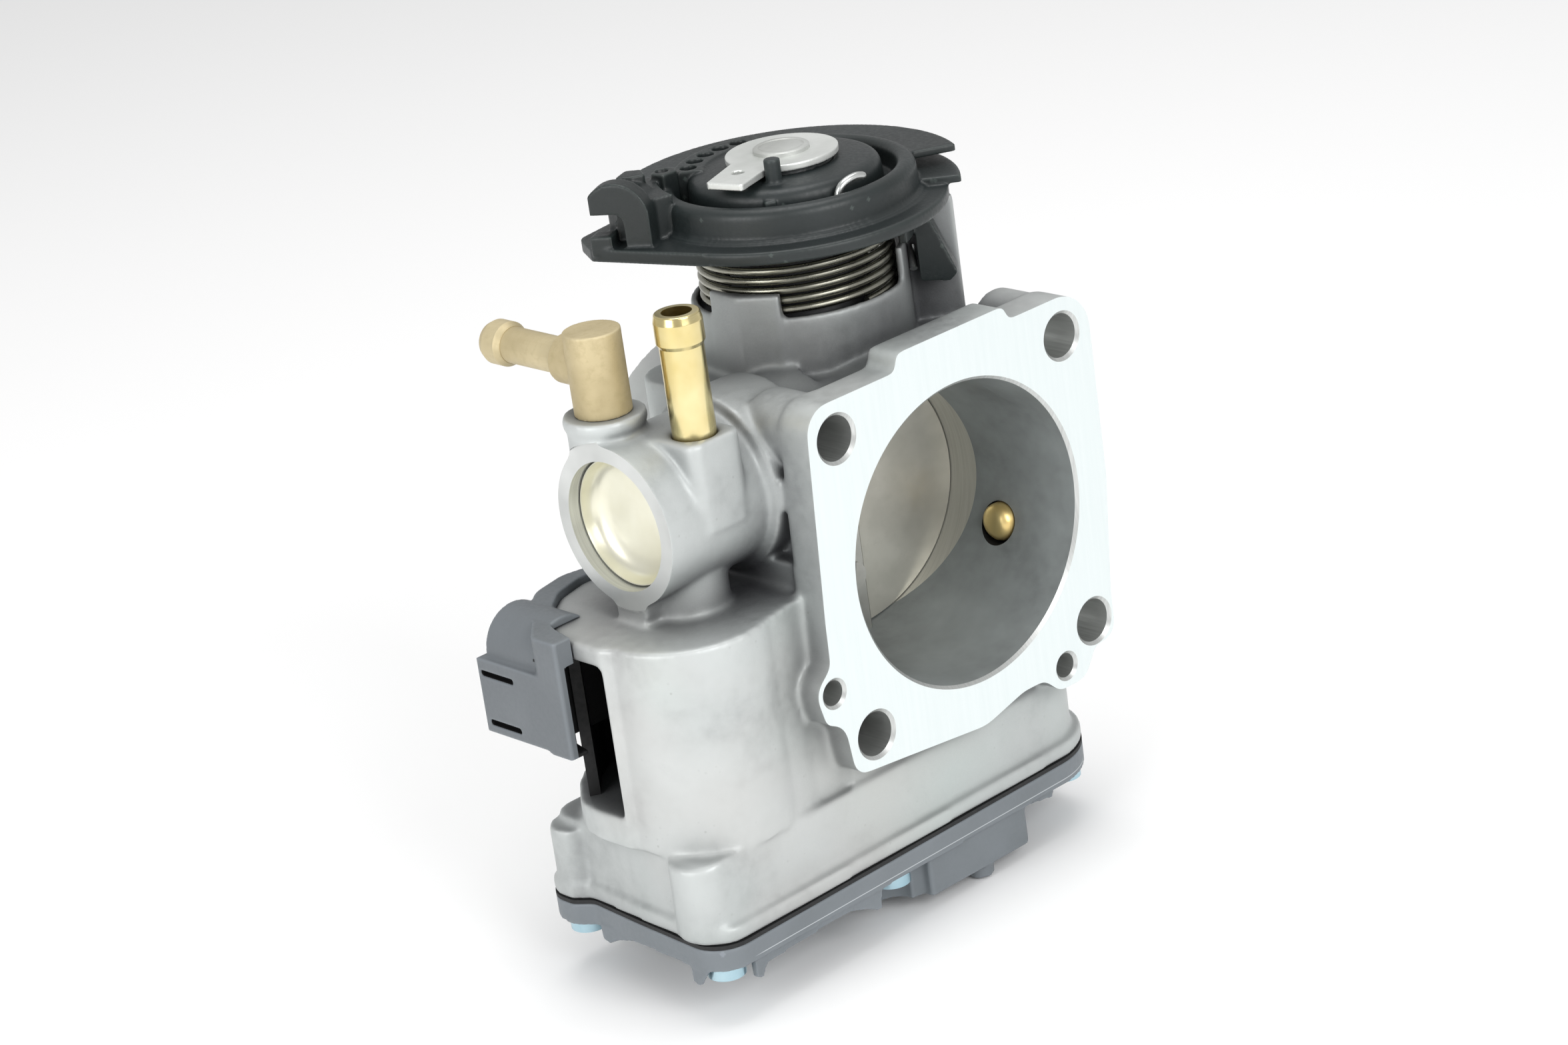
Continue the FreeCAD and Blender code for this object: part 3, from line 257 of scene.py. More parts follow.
def plastic(name, col, col2, rough, grain=900.0, strength=0.2, edge_highlight_col=None, spec=0.5):
    m = Mat(name)
    blot = m.noise(45.0, 3.0, 0.5)
    fine = m.noise(grain, 3.0, 0.6)
    base = m.mix(m.map(blot, 0.35, 0.7), col, col2)
    if edge_highlight_col:
        # painted highlight: convex edges lightened toward the edge colour
        base = m.mix(m.map(m.edge(), 0.505, 0.60, 0.0, 0.6), base, edge_highlight_col)
    r = m.map(fine, 0.3, 0.7, rough[0], rough[1])
    nrm = m.bump(fine, strength, 0.00008)
    nrm = m.bump(m.noise(grain * 3.0, 2.0), strength * 0.5, 0.00003, nrm)
    return m.done(base, r, 0.0, nrm, spec)


MAT["pulley"] = plastic("moulded_black_pulley", rgb("1a2020"), rgb("22292a"), (0.36, 0.5), 1400.0, 0.22, rgb("49524f"), 0.5)
MAT["cover"] = plastic("moulded_blue_grey", rgb("666b6f"), rgb("71767a"), (0.42, 0.58), 1100.0, 0.25, rgb("8f969c"), 0.45)


def cover_low():
    """The cover's plastic, with a painted highlight on its convex edges and a thin painted highlight along the moulding
    line that runs round its side band.
    """
    m = Mat("moulded_blue_grey_cover")
    blot = m.noise(45.0, 3.0, 0.5)
    fine = m.noise(1100.0, 3.0, 0.6)
    base = m.mix(m.map(blot, 0.35, 0.7), rgb("6c7276"), rgb("777d82"))
    # painted highlight: convex edges lightened
    base = m.mix(m.map(m.edge(), 0.505, 0.60, 0.0, 0.5), base, rgb("8f969d"))
    # painted highlight: thin pale line along the moulding line round the side band
    zz = m.sep()[2]
    off = m.math("ABSOLUTE", m.math("ADD", zz, 0.06165))
    base = m.mix(m.math("MULTIPLY", m.map(off, 0.00005, 0.00012, 0.55, 0.0), m.map(m.sep()[0], -0.067, -0.064)), base, rgb("dde1e4"))
    nrm = m.bump(fine, 0.25, 0.00008)
    return m.done(base, m.map(fine, 0.3, 0.7, 0.42, 0.58), 0.0, nrm, 0.45)


MAT["cover_low"] = cover_low()
# painted shadow: near-black laid on faces that are only seen in shade
MAT["painted_shadow_black"] = plastic("shadow_black_plastic", rgb("0b0b0c"), rgb("101112"), (0.55, 0.7), 900.0, 0.1)
MAT["seal"] = plastic("seal_rubber_black", rgb("151617"), rgb("1e1f20"), (0.6, 0.75), 900.0, 0.2)
MAT["gear"] = plastic("gear_natural_plastic", rgb("d9d4c4"), rgb("cfc8b4"), (0.4, 0.55), 900.0, 0.1)
MAT["board"] = plastic("sensor_board_green", rgb("2d5a3d"), rgb("25492f"), (0.35, 0.5), 900.0, 0.1)


def metal(name, col, col2, rough, scale=300.0, metallic=1.0, strength=0.1, crease_shade_col=None, mottling=0.5, edge_highlight_col=None):
    m = Mat(name)
    big = m.noise(80.0, 3.0, 0.55)
    fine = m.noise(scale, 4.0, 0.6)
    base = m.mix(m.map(big, 0.35, 0.7), col, col2)
    base = m.mix(m.map(fine, 0.5, 0.8, 0.0, mottling), base, col2)
    # painted shade: concave creases and gaps, such as those between spring coils, darkened toward this colour
    if crease_shade_col:
        base = m.mix(m.map(m.edge(), 0.38, 0.495, 0.7, 0.0), base, crease_shade_col)
    if edge_highlight_col:
        # painted highlight: convex edges lightened toward the edge colour
        base = m.mix(m.map(m.edge(), 0.51, 0.62, 0.0, 0.7), base, edge_highlight_col)
    r = m.map(fine, 0.3, 0.7, rough[0], rough[1])
    return m.done(base, r, metallic, m.bump(fine, strength, 0.00006))


MAT["brass_bright"] = metal("brass_polished", rgb("ecdfae"), rgb("dac88c"), (0.16, 0.27), 240.0, 1.0, 0.08, rgb("7a6430"))
MAT["brass_dull"] = metal("brass_cast_dull", rgb("c6b791"), rgb("ac9d78"), (0.45, 0.6), 700.0, 0.4, 0.5, rgb("6d5f42"), 0.6, rgb("ddd2b2"))
MAT["brass_pin"] = metal("brass_pin", rgb("f2da98"), rgb("e2bd70"), (0.28, 0.38), 300.0, 0.8, 0.1, rgb("6a4c1d"))
MAT["plug"] = metal("plated_plug", rgb("f0eedd"), rgb("e6e3cd"), (0.28, 0.36), 60.0, 0.75, 0.02)
MAT["washer"] = metal("zinc_washer", rgb("e9ebe8"), rgb("d2d5d1"), (0.30, 0.44), 500.0, 0.6, 0.15, rgb("8b8d8a"))
MAT["steel"] = metal("steel_shaft", rgb("b9b8b2"), rgb("a09f99"), (0.28, 0.42), 500.0, 0.95, 0.15, rgb("4b4a46"))
MAT["rivet"] = metal("peened_shaft_end", rgb("c6c8c5"), rgb("b2b4b0"), (0.40, 0.55), 700.0, 0.5, 0.3, rgb("77786f"))
MAT["spring"] = metal("spring_steel", rgb("a3a295"), rgb("85847a"), (0.24, 0.34), 500.0, 1.0, 0.1, rgb("2a2925"))
MAT["spring_bright"] = metal("spring_end_bright", rgb("dcdedc"), rgb("bcbfbd"), (0.25, 0.36), 500.0, 0.95, 0.1)
MAT["screw"] = metal("blue_zinc_screw", rgb("b9d4de"), rgb("9fbfcc"), (0.26, 0.40), 400.0, 0.95, 0.12, rgb("55626a"))
MAT["plate"] = metal("butterfly_plate", rgb("bebcb2"), rgb("aaa89e"), (0.32, 0.42), 350.0, 0.7, 0.08)
# painted shadow: the motor can and its plate are near-black for the shade they sit in
MAT["can"] = metal("motor_can", rgb("141416"), rgb("1b1c1e"), (0.35, 0.5), 350.0, 0.3, 0.1)


def paint(obj, mat):
    obj.data.materials.clear()
    obj.data.materials.append(mat)
    return obj


DEFAULTS = {
    "housing": "cast", "throttle_plate": "plate", "throttle_shaft": "steel", "plate_screws": "steel", "bore_pin": "brass_pin",
    "cable_pulley": "pulley", "shaft_washer": "washer", "shaft_end_ring": "rivet", "return_spring": "spring", "spring_top_leg": "spring_bright",
    "spring_lower_leg": "spring_bright", "straight_nipple": "brass_bright", "elbow_body": "brass_dull", "elbow_tube": "brass_dull",
    "barrel_plug": "plug", "connector_housing": "cover", "cover_seal": "seal", "bottom_cover": "cover", "cover_screws": "screw",
    "upper_shaft_bearing": "brass_dull", "lower_shaft_bearing": "brass_dull", "upper_shaft_seal": "seal", "lower_shaft_seal": "seal",
    "upper_bearing_cap": "washer", "idle_motor_can": "can", "motor_mounting_plate": "can", "motor_mounting_screws": "screw", "motor_shaft": "steel",
    "motor_pinion": "brass_dull", "gear_axle": "steel", "intermediate_gear": "gear", "idle_sector_gear": "gear", "throttle_lever": "washer",
    "sector_retaining_clip": "washer", "sensor_wiper": "gear", "sensor_board": "board", "connector_terminals": "brass_bright",
}
for n, o in nodes.items():
    paint(o, MAT[DEFAULTS[n]])


# ------------------------------------------------------------------ mesh helpers
def new_obj(name, mesh):
    o = bpy.data.objects.new(name, mesh)
    scene.collection.objects.link(o)
    return o


def apply_all(o):
    bpy.context.view_layer.update()
    dg = bpy.context.evaluated_depsgraph_get()
    me = bpy.data.meshes.new_from_object(o.evaluated_get(dg), depsgraph=dg)
    o.modifiers.clear()
    old = o.data
    o.data = me
    if old.users == 0:
        bpy.data.meshes.remove(old)
    return o


def copy_node(node, name):
    me = nodes[node].data.copy()
    me.name = name
    bm = bmesh.new()
    bm.from_mesh(me)
    bmesh.ops.remove_doubles(bm, verts=bm.verts, dist=1e-6)
    bm.to_mesh(me)
    bm.free()
    return new_obj(name, me)


def mod(o, kind, **kw):
    q = o.modifiers.new(kind, kind)
    for k, v in kw.items():
        setattr(q, k, v)
    return q


def shade(o, angle=35.0):
    """Smooth shading with the sharp edges kept."""
    me = o.data
    me.polygons.foreach_set("use_smooth", [True] * len(me.polygons))
    me.set_sharp_from_angle(angle=math.radians(angle))
    return o


def prism(name, pts, lo, hi, axis="y"):
    """Closed outline (list of 2-D points, mm) between two levels along an axis."""
    bm = bmesh.new()

    def at(u, v, w):
        if axis == "y":
            return Vector((u, w, v)) * MM
        if axis == "z":
            return Vector((u, v, w)) * MM
        return Vector((w, u, v)) * MM

    a = [bm.verts.new(at(u, v, lo)) for u, v in pts]
    b = [bm.verts.new(at(u, v, hi)) for u, v in pts]
    n = len(pts)
    bm.faces.new(a)
    bm.faces.new(list(reversed(b)))
    for i in range(n):
        bm.faces.new([a[i], b[i], b[(i + 1) % n], a[(i + 1) % n]])
    bmesh.ops.recalc_face_normals(bm, faces=bm.faces)
    me = bpy.data.meshes.new(name)
    bm.to_mesh(me)
    bm.free()
    return new_obj(name, me)


def rounded(pts, seg=6):
    """Polygon of (u, v, radius) to a plain outline."""
    out = []
    n = len(pts)
    P = [Vector((q[0], q[1])) for q in pts]
    R = [q[2] for q in pts]
    L = [(P[(i + 1) % n] - P[i]).length for i in range(n)]
    tan = []
    for i in range(n):
        d1 = (P[i - 1] - P[i]).normalized()
        d2 = (P[(i + 1) % n] - P[i]).normalized()
        tan.append(math.tan(math.acos(max(-1, min(1, d1.dot(d2)))) / 2))
    for turn in range(3):
        for i in range(n):
            k = (i + 1) % n
            need = R[i] / tan[i] + R[k] / tan[k]
            if need > 0.97 * L[i]:
                R[i] *= 0.97 * L[i] / need
                R[k] *= 0.97 * L[i] / need
    for i in range(n):
        if R[i] < 1e-6:
            out.append((P[i].x, P[i].y))
            continue
        d1 = (P[i - 1] - P[i]).normalized()
        d2 = (P[(i + 1) % n] - P[i]).normalized()
        t = R[i] / tan[i]
        c = P[i] + (d1 + d2).normalized() * math.hypot(R[i], t)
        s = P[i] + d1 * t
        e = P[i] + d2 * t
        for k in range(seg + 1):
            q = s.lerp(e, k / seg)
            q = c + (q - c).normalized() * R[i]
            out.append((q.x, q.y))
    return out


def lathe(name, prof, centre, axis="z", seg=96, a0=0.0, a1=360.0):
    """Profile of (radius, level), mm, turned about an axis through centre."""
    bm = bmesh.new()
    full = abs(a1 - a0) > 359.9
    steps = seg if full else max(2, int(seg * abs(a1 - a0) / 360.0) + 1)
    rings = []
    for k in range(steps if full else steps + 1):
        t = math.radians(a0 + (a1 - a0) * k / steps)
        ring = []
        for r, l in prof:
            if axis == "z":
                v = Vector((r * math.cos(t), r * math.sin(t), l))
            elif axis == "y":
                v = Vector((r * math.cos(t), l, r * math.sin(t)))
            else:
                v = Vector((l, r * math.cos(t), r * math.sin(t)))
            ring.append(bm.verts.new((v + Vector(centre)) * MM))
        rings.append(ring)
    n = len(prof)
    m = len(rings)
    for k in range(m if full else m - 1):
        a, b = rings[k], rings[(k + 1) % m]
        for i in range(n):
            j = (i + 1) % n
            bm.faces.new([a[i], a[j], b[j], b[i]])
    if not full:
        bm.faces.new(rings[0])
        bm.faces.new(list(reversed(rings[-1])))
    bmesh.ops.remove_doubles(bm, verts=bm.verts, dist=1e-7)
    bmesh.ops.recalc_face_normals(bm, faces=bm.faces)
    me = bpy.data.meshes.new(name)
    bm.to_mesh(me)
    bm.free()
    return new_obj(name, me)


def cutter(obj, tools, op="DIFFERENCE"):
    for t in tools:
        b = mod(obj, "BOOLEAN", operation=op, object=t, solver="MANIFOLD")
    apply_all(obj)
    for t in tools:
        me = t.data
        bpy.data.objects.remove(t)
        if me.users == 0:
            bpy.data.meshes.remove(me)
    return obj


def join(name, objs):
    bm = bmesh.new()
    for o in objs:
        bm.from_mesh(o.data)
    me = bpy.data.meshes.new(name)
    bm.to_mesh(me)
    bm.free()
    for o in objs:
        d = o.data
        bpy.data.objects.remove(o)
        if d.users == 0:
            bpy.data.meshes.remove(d)
    return new_obj(name, me)


def soften(o, voxel, passes, factor=0.5):
    """Rounds every edge as a casting or moulding has it: remesh, then relax without losing volume."""
    mod(o, "REMESH", mode="VOXEL", voxel_size=voxel * MM, adaptivity=0.0)
    apply_all(o)
    mod(o, "SMOOTH", factor=factor, iterations=passes)
    apply_all(o)
    return o


def circle(cx, cy, r, n=160):
    return [(cx + r * math.cos(2 * math.pi * k / n), cy + r * math.sin(2 * math.pi * k / n)) for k in range(n)]


def rod(name, r, lo, hi, centre, axis, n=160):
    return prism(name, circle(centre[0], centre[1], r, n), lo, hi, axis)


def slab(name, x0, x1, y0, y1, z0, z1):
    return prism(name, [(x0, y0), (x1, y0), (x1, y1), (x0, y1)], z0, z1, "z")


def centres(o):
    """Face centres in mm and face normals."""
    me = o.data
    n = len(me.polygons)
    c = np.empty(n * 3, dtype=np.float32)
    me.polygons.foreach_get("center", c)
    q = np.empty(n * 3, dtype=np.float32)
    me.polygons.foreach_get("normal", q)
    return c.reshape(-1, 3) * 1000.0, q.reshape(-1, 3)


def slots(o, names, index):
    o.data.materials.clear()
    for k in names:
        o.data.materials.append(MAT[k])
    o.data.polygons.foreach_set("material_index", np.ascontiguousarray(index, dtype=np.int32))
    o.data.update()
    return o


def finish_piece(o, body, node, angle=35.0):
    shade(o, angle)
    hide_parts(*([node] if isinstance(node, str) else node))
    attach(o, body)
    return o


# ------------------------------------------------------------------ housing, softened as a casting, then machined
FLANGE = [(-37.4, 37.6, 5.5), (-14.2, 37.6, 1.0), (-13.0, 41.0, 1.5), (15.6, 41.0, 1.5), (17.0, 38.0, 1.0),
          (38.6, 38.0, 8.5), (38.6, -2.0, 30.0), (36.2, -26.0, 20.0), (36.2, -35.2, 3.5), (30.2, -35.2, 2.0),
          (26.6, -40.8, 4.0), (19.0, -40.8, 4.0), (15.0, -37.0, 4.0), (9.0, -37.0, 6.0), (-2.0, -39.8, 12.0),
          (-37.0, -36.2, 3.6), (-38.3, -25.0, 5.0), (-42.6, -23.6, 2.5), (-44.4, -16.4, 4.0), (-39.8, -12.6, 3.0),
          (-39.6, -4.0, 20.0)]
LIP = [(-75.4, 1.5, 7.0), (36.0, 3.7, 16.0), (36.0, 55.0, 15.0), (20.0, 66.0, 12.0), (-30.0, 66.0, 8.0), (-42.0, 52.5, 8.0),
       (-75.6, 52.5, 6.0), (-75.6, 43.6, 2.5), (-73.2, 40.0, 3.0), (-74.2, 26.0, 30.0)]
BOLTS = [(-30.6, 30.1), (30.6, 30.1), (30.6, -30.1), (-30.6, -30.1)]
TAPPED = [(-39.7, -18.0), (21.6, -36.4)]

VOX = 0.55
parts = [copy_node("housing", "housing_raw")]
parts.append(prism("f1", rounded(FLANGE), -3.0, 0.02, "y"))
parts.append(rod("f2", 30.7, -3.0, 2.0, (0, 0), "y"))
parts.append(rod("f3", 30.2, 1.0, 52.0, (0, 0), "y"))
parts.append(rod("f4", 28.4, 50.0, 73.95, (0, 0), "y"))
for i, (x, z) in enumerate(BOLTS):
    parts.append(rod("b%d" % i, 4.5, -2.0, 19.0, (x, z), "y", 64))
for i, (x, z) in enumerate(TAPPED):
    parts.append(rod("t%d" % i, 3.2, -2.0, 8.0, (x, z), "y", 64))
parts.append(rod("cb", 12.9, -65.9, -57.0, (26.5, 19.8), "x"))
parts.append(rod("be", 15.8, -65.9, -64.0, (26.5, 19.8), "x"))
hs = join("housing_casting", parts)
soften(hs, VOX, 13)
c1 = join("cut_planes", [slab("c1", -95, 60, -9, 0, -80, 60), slab("c2", -95, 60, 0.3, 90, -75, -57.35)])
cutter(hs, [c1])
cutter(hs, [rod("face_cut", 16.6, -72.0, -64.45, (26.5, 19.8), "x", 192)])
holes = [rod("h%d" % i, 4.4, -3.0, 40.0, (x, z), "y", 96) for i, (x, z) in enumerate(BOLTS)]
holes += [rod("k%d" % i, 2.5, -3.0, 11.0, (x, z), "y", 64) for i, (x, z) in enumerate(TAPPED)]
holes.append(rod("hc", 12.8, -70.0, -56.42, (26.5, 19.8), "x", 192))
holes.append(rod("hp", 4.2, 16.0, 33.0, (19.6, -11.2), "x", 96))
cutter(hs, [join("cut_holes", holes)])
cutter(hs, [rod("bore", 28.3, -6.0, 95.0, (0, 0), "y", 256)])


def loft(name, rings, seg=256):
    """Closed solid through rings of (radius, level at an angle), about the bore axis."""
    bm = bmesh.new()
    rows = []
    for rad, lev in rings:
        row = []
        for k in range(seg):
            t = 2 * math.pi * k / seg
            px, pz = rad * math.cos(t), rad * math.sin(t)
            row.append(bm.verts.new(Vector((px, lev(px), pz)) * MM))
        rows.append(row)
    for a, b in zip(rows, rows[1:]):
        for k in range(seg):
            bm.faces.new([a[k], a[(k + 1) % seg], b[(k + 1) % seg], b[k]])
    bm.faces.new(rows[0])
    bm.faces.new(list(reversed(rows[-1])))
    bmesh.ops.recalc_face_normals(bm, faces=bm.faces)
    me = bpy.data.meshes.new(name)
    bm.to_mesh(me)
    bm.free()
    return new_obj(name, me)


tap = loft("taper", [(30.05, lambda q: -2.0), (30.0, lambda q: 0.0), (28.22, lambda q: (42.5 - 0.5875 * q) / 0.955), (20.0, lambda q: (42.5 - 0.5875 * q) / 0.955)])
cutter(hs, [tap])
rims = [lathe("r%d" % i, [(4.0, -1.5), (6.55, -1.5), (5.05, 0.0), (4.4, 0.65), (4.0, 0.65)], (x, 0, z), "y", 96) for i, (x, z) in enumerate(BOLTS)]
rims += [lathe("q%d" % i, [(2.2, -1.5), (4.6, -1.5), (3.1, 0.0), (2.5, 0.6), (2.2, 0.6)], (x, 0, z), "y", 64) for i, (x, z) in enumerate(TAPPED)]
rims.append(lathe("rb", [(29.0, -1.5), (32.0, -1.5), (30.6, 0.0), (29.9, 0.7), (29.0, 0.7)], (0, 0, 0), "y", 256))
cutter(hs, [join("cut_rims", rims)])
C, N = centres(hs)
x, y, z = C[:, 0], C[:, 1], C[:, 2]
rr = np.hypot(x, z)
idx = np.zeros(len(C), dtype=np.int32)
idx[(y < 0.05) & (N[:, 1] < -0.95)] = 1
inbore = (rr < 30.9) & (y > 0.01) & (y < 74.0) & (N[:, 1] > -0.4)
inbore &= rr > 27.9
idx[inbore] = 2
idx[inbore & (y > 42.5 - 0.5875 * x)] = 3
for bx, bz in BOLTS + TAPPED:
    d = np.hypot(x - bx, z - bz)
    idx[(d < (5.2 if (bx, bz) in BOLTS else 3.2)) & (y < 39) & (y > 0.02)] = 4
db = np.hypot(y - 26.5, z - 19.8)
idx[(db < 12.95) & (x < -56.0)] = 4
idx[(db < 16.5) & (x < -64.30) & (N[:, 0] < -0.9) & (db > 12.0)] = 5
dm = np.hypot(x + 57.0, y - 20.5)
# painted shadow: faces inside the side window, in the motor cavity and in the pin hole take the near-black
idx[(x > -74.6) & (x < -43.5) & (y > 22.6) & (z > -34.3) & (z < -3.8)] = 6
idx[(dm < 15.7) & (z < -4.0) & (z > -57.0)] = 6
dp = np.hypot(y - 19.6, z + 11.2)
idx[(dp < 4.75) & (x > 20.0) & (x < 33.2) & (np.abs(N[:, 0]) < 0.5)] = 6
idx[(rr > 29.8) & (rr < 30.75) & (y < 0.75) & (y > 0.01) & (N[:, 1] < -0.4)] = 4
slots(hs, ["cast", "milled", "bore_cast", "bore_milled", "turned", "turned", "painted_shadow_black"], idx)
# near-black wall that closes the back of the side window: painted shadow where the window would look through
shadow_wall = prism("window_shadow_wall", [(-72.6, 36.6), (-67.4, 42.6), (-61.4, 46.8), (-45.0, 47.6), (-45.0, 45.4), (-60.6, 44.6), (-65.8, 41.0), (-70.8, 35.4)], -34.8, -3.4, "z")
paint(shadow_wall, MAT["painted_shadow_black"])
finish_piece(shadow_wall, "body", "housing", 30.0)
shade(hs, 40.0)
# true normals where the casting was machined
me = hs.data
nl = len(me.loops)
ln = np.empty(nl * 3, dtype=np.float32)
me.corner_normals.foreach_get("vector", ln)
ln = ln.reshape(-1, 3)
lv = np.empty(nl, dtype=np.int32)
me.loops.foreach_get("vertex_index", lv)
co = np.empty(len(me.vertices) * 3, dtype=np.float32)
me.vertices.foreach_get("co", co)
co = co.reshape(-1, 3)[lv] * 1000.0
tot = np.empty(len(me.polygons), dtype=np.int32)
me.polygons.foreach_get("loop_total", tot)
cls = np.repeat(idx, tot)
fn = np.repeat(N, tot, axis=0)
flat = cls == 1
ln[flat] = (0.0, -1.0, 0.0)
tube = (cls == 2) | (cls == 3)
rad = np.hypot(co[:, 0], co[:, 2]) + 1e-9
ln[tube] = np.stack([-co[tube, 0] / rad[tube], np.where(cls[tube] == 2, -0.045, 0.0), -co[tube, 2] / rad[tube]], axis=1)
me.normals_split_custom_set([tuple(float(c) for c in v) for v in ln])
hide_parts("housing")
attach(hs, "body")

# ------------------------------------------------------------------ moulded pieces
pl = copy_node("cable_pulley", "cable_pulley_moulded")
soften(pl, 0.30, 5)
paint(pl, MAT["pulley"])
finish_piece(pl, "throttle", "cable_pulley", 50.0)

cn = copy_node("connector_housing", "connector_moulded")
soften(cn, 0.28, 3)
C, N = centres(cn)
idx = np.zeros(len(C), dtype=np.int32)
# painted shadow: connector faces in the side window and in its slots take the near-black
idx[(C[:, 0] > -79.2) & (C[:, 1] < 38.5) & (C[:, 2] < -3.9)] = 1
idx[(C[:, 1] > 36.0) & (C[:, 1] < 53.9) & (C[:, 0] > -78.6) & (C[:, 0] < -63.8) & (C[:, 2] > -20.0) & (C[:, 2] < -8.0)] = 1
sl = (C[:, 0] < -78.6) & (C[:, 0] > -80.55) & (C[:, 1] > 43.5) & (C[:, 1] < 53.6)
idx[sl & (((C[:, 2] > -10.1) & (C[:, 2] < -8.5)) | ((C[:, 2] > -20.3) & (C[:, 2] < -18.7)))] = 1
slots(cn, ["cover", "painted_shadow_black"], idx)
finish_piece(cn, "body", "connector_housing", 50.0)

cv = copy_node("bottom_cover", "bottom_cover_moulded")
soften(cv, 0.40, 4)
paint(cv, MAT["cover_low"])
finish_piece(cv, "body", "bottom_cover", 50.0)

eb = copy_node("elbow_body", "elbow_body_cast")
soften(eb, 0.22, 5)
paint(eb, MAT["brass_dull"])
finish_piece(eb, "body", "elbow_body", 50.0)

ws = copy_node("shaft_washer", "shaft_washer_pressed")
soften(ws, 0.16, 3)
paint(ws, MAT["washer"])
finish_piece(ws, "throttle", "shaft_washer", 50.0)


pg = lathe("barrel_plug_dished", [(0.0, -57.7), (5.0, -57.75), (8.3, -58.0), (10.1, -58.5), (11.2, -59.2), (11.8, -60.2), (12.1, -61.3), (12.3, -61.85), (12.5, -61.85), (12.56, -61.6), (12.56, -60.6), (12.76, -60.4), (12.76, -56.5), (0.0, -56.5)],
           (0, 26.5, 19.8), "x", 160)
paint(pg, MAT["plug"])
finish_piece(pg, "body", "barrel_plug", 40.0)

pn = lathe("bore_pin_domed", [(0.0, 24.3), (1.1, 24.38), (2.1, 24.65), (2.9, 25.1), (3.5, 25.75), (3.8, 26.4), (3.9, 27.2), (3.9, 36.2), (0.0, 36.2)], (0, 19.6, -11.2), "x", 96)
paint(pn, MAT["brass_pin"])
finish_piece(pn, "body", "bore_pin", 40.0)

se = lathe("shaft_end_peened", [(0.0, 73.10), (3.8, 73.12), (4.05, 73.02), (4.3, 73.02), (4.5, 73.2), (5.2, 73.18), (5.5, 72.95), (5.56, 72.3), (0.0, 72.3)], (0, SY, 0), "z", 96)
paint(se, MAT["rivet"])
finish_piece(se, "throttle", "shaft_end_ring", 40.0)


def wire(name, path, r, n=16):
    """Round wire through points, mm, with rounded ends."""
    P = [Vector(q) for q in path]
    pts = []
    for i in range(len(P) - 1):
        p0, p1, p2, p3 = P[max(i - 1, 0)], P[i], P[i + 1], P[min(i + 2, len(P) - 1)]
        for k in range(6):
            t = k / 6.0
            pts.append(0.5 * ((2 * p1) + (p2 - p0) * t + (2 * p0 - 5 * p1 + 4 * p2 - p3) * t * t + (3 * p1 - p0 - 3 * p2 + p3) * t * t * t))
    pts.append(P[-1])
    radii = [r] * len(pts)
    d = (pts[-1] - pts[-2]).normalized()
    pts += [pts[-1] + d * r * 0.55, pts[-1] + d * r * 0.9]
    radii += [r * 0.83, r * 0.45]
    bm = bmesh.new()
    rows = []
    for i, c in enumerate(pts):
        d = (pts[min(i + 1, len(pts) - 1)] - pts[max(i - 1, 0)]).normalized()
        a = d.cross(Vector((0.3, -0.2, 0.93))).normalized()
        b = d.cross(a)
        rows.append([bm.verts.new((c + (a * math.cos(2 * math.pi * k / n) + b * math.sin(2 * math.pi * k / n)) * radii[i]) * MM) for k in range(n)])
    for a, b in zip(rows, rows[1:]):
        for k in range(n):
            bm.faces.new([a[k], a[(k + 1) % n], b[(k + 1) % n], b[k]])
    bm.faces.new(rows[0])
    bm.faces.new(list(reversed(rows[-1])))
    bmesh.ops.recalc_face_normals(bm, faces=bm.faces)
    me = bpy.data.meshes.new(name)
    bm.to_mesh(me)
    bm.free()
    return new_obj(name, me)


tl = wire("spring_end_bent", [(-5.5, 19.75, 58.9), (-5.4, 19.6, 64.0), (-4.9, 19.4, 66.6), (-4.1, 19.1, 68.4), (-2.5, 18.8, 69.3), (-0.5, 18.5, 69.6), (1.0, 18.25, 69.3)], 0.78)
paint(tl, MAT["spring_bright"])
finish_piece(tl, "throttle", "spring_top_leg", 60.0)


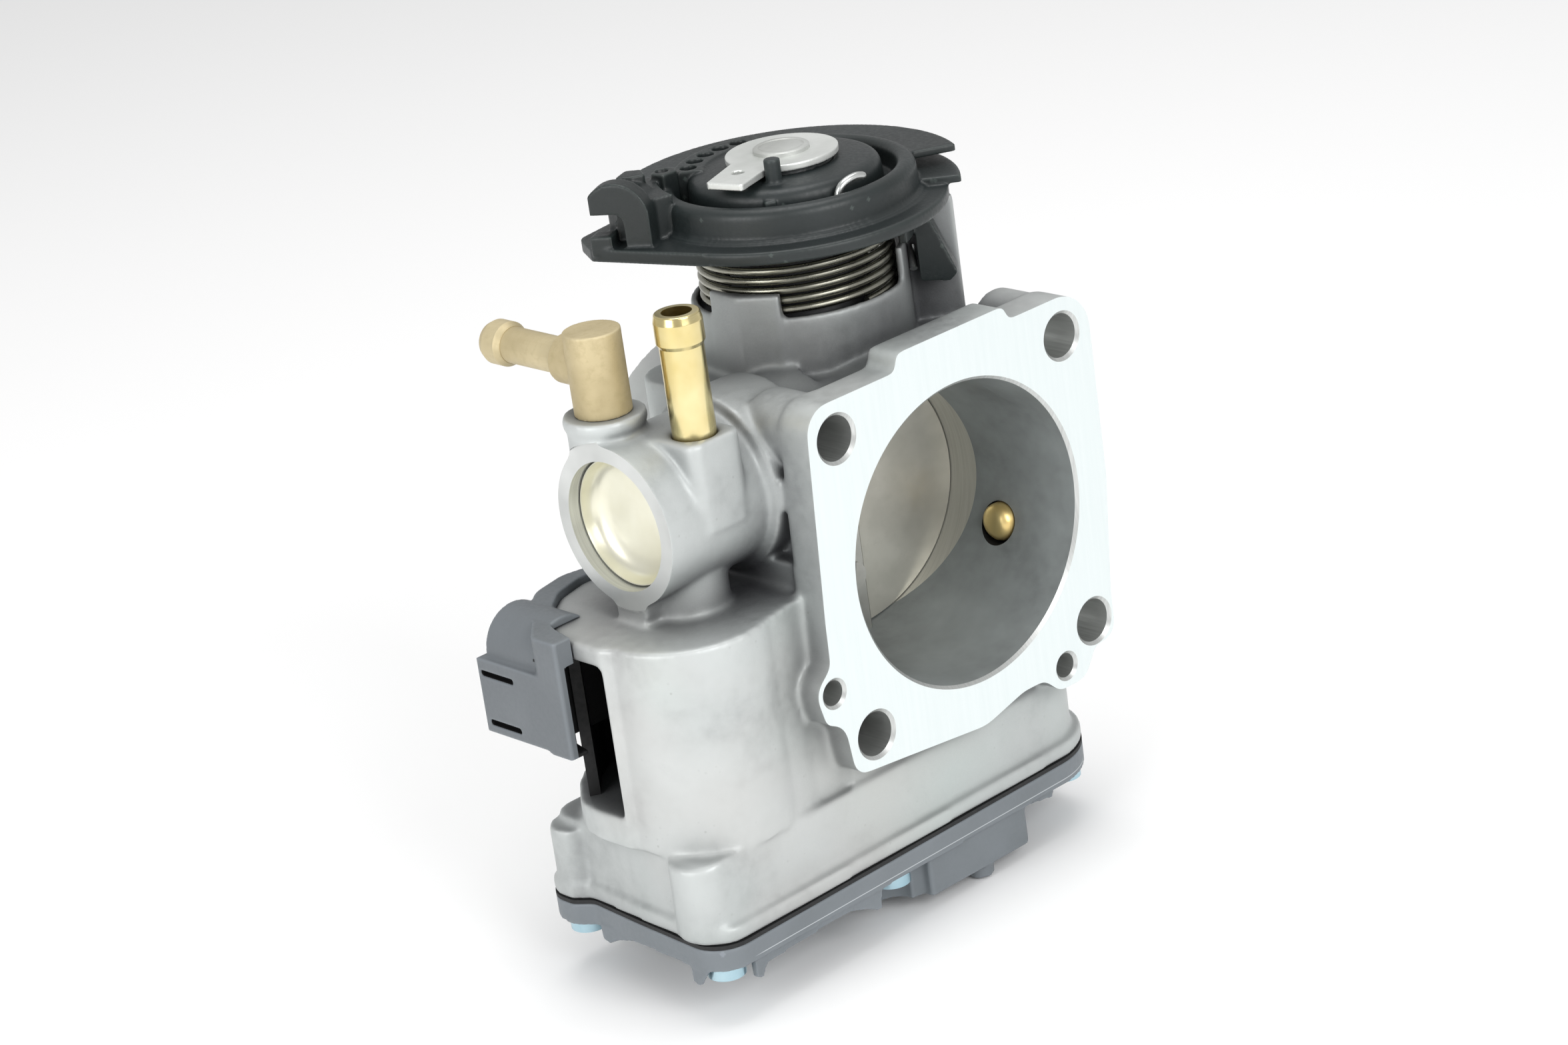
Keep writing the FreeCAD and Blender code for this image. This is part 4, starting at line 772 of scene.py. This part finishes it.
# ------------------------------------------------------------------ camera and light
def camera():
    a, e, roll = math.radians(-40.54), math.radians(20.977), math.radians(8.147)
    back = Vector((math.sin(a) * math.cos(e), -math.cos(a) * math.cos(e), math.sin(e)))
    right = Vector((math.cos(a), math.sin(a), 0.0))
    up = back.cross(right)
    r2 = right * math.cos(roll) - up * math.sin(roll)
    u2 = right * math.sin(roll) + up * math.cos(roll)
    cam = bpy.data.cameras.new("camera")
    cam.sensor_width = 36.0
    cam.lens = 93.78
    cam.clip_start = 0.01
    cam.clip_end = 10.0
    o = bpy.data.objects.new("camera", cam)
    scene.collection.objects.link(o)
    M = Matrix((r2, u2, back)).transposed().to_4x4()
    M.translation = Vector((-0.50005, -0.53074, 0.28686))
    o.matrix_world = M
    scene.camera = o


camera()
scene.view_settings.view_transform = "Standard"
studio = [
    ("key", (-0.15, -1.05, 0.55), (0.0, 0.02, 0.0), 0.7, 6.8),
    ("left", (-1.00, -0.10, 0.35), (0.0, 0.03, 0.0), 0.6, 4.5),
    ("top", (0.10, 0.10, 1.10), (0.0, 0.03, 0.0), 0.7, 5.0),
]
for n, pos, tgt, sz, power in studio:
    l = bpy.data.lights.new(n, "AREA")
    l.shape = "SQUARE"
    l.size = sz
    l.energy = power
    o = bpy.data.objects.new(n, l)
    scene.collection.objects.link(o)
    o.location = pos
    o.rotation_euler = (Vector(tgt) - Vector(pos)).to_track_quat("-Z", "Y").to_euler()
world = bpy.data.worlds.new("studio")
scene.world = world
world.use_nodes = True
bg = world.node_tree.nodes["Background"]
bg.inputs[0].default_value = (1.0, 1.0, 1.0, 1.0)
bg.inputs[1].default_value = 0.56

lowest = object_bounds()[0][2]
floor_me = bpy.data.meshes.new("floor")
fb = bmesh.new()
bmesh.ops.create_grid(fb, x_segments=2, y_segments=2, size=6.0)
fb.to_mesh(floor_me)
fb.free()
floor = new_obj("floor", floor_me)
floor.location = (0, 0, lowest - 0.0005)
fm = Mat("studio_floor")
fm.done(rgb("fdfdfd"), 0.9, 0.0, None, 0.0)
paint(floor, fm.m)
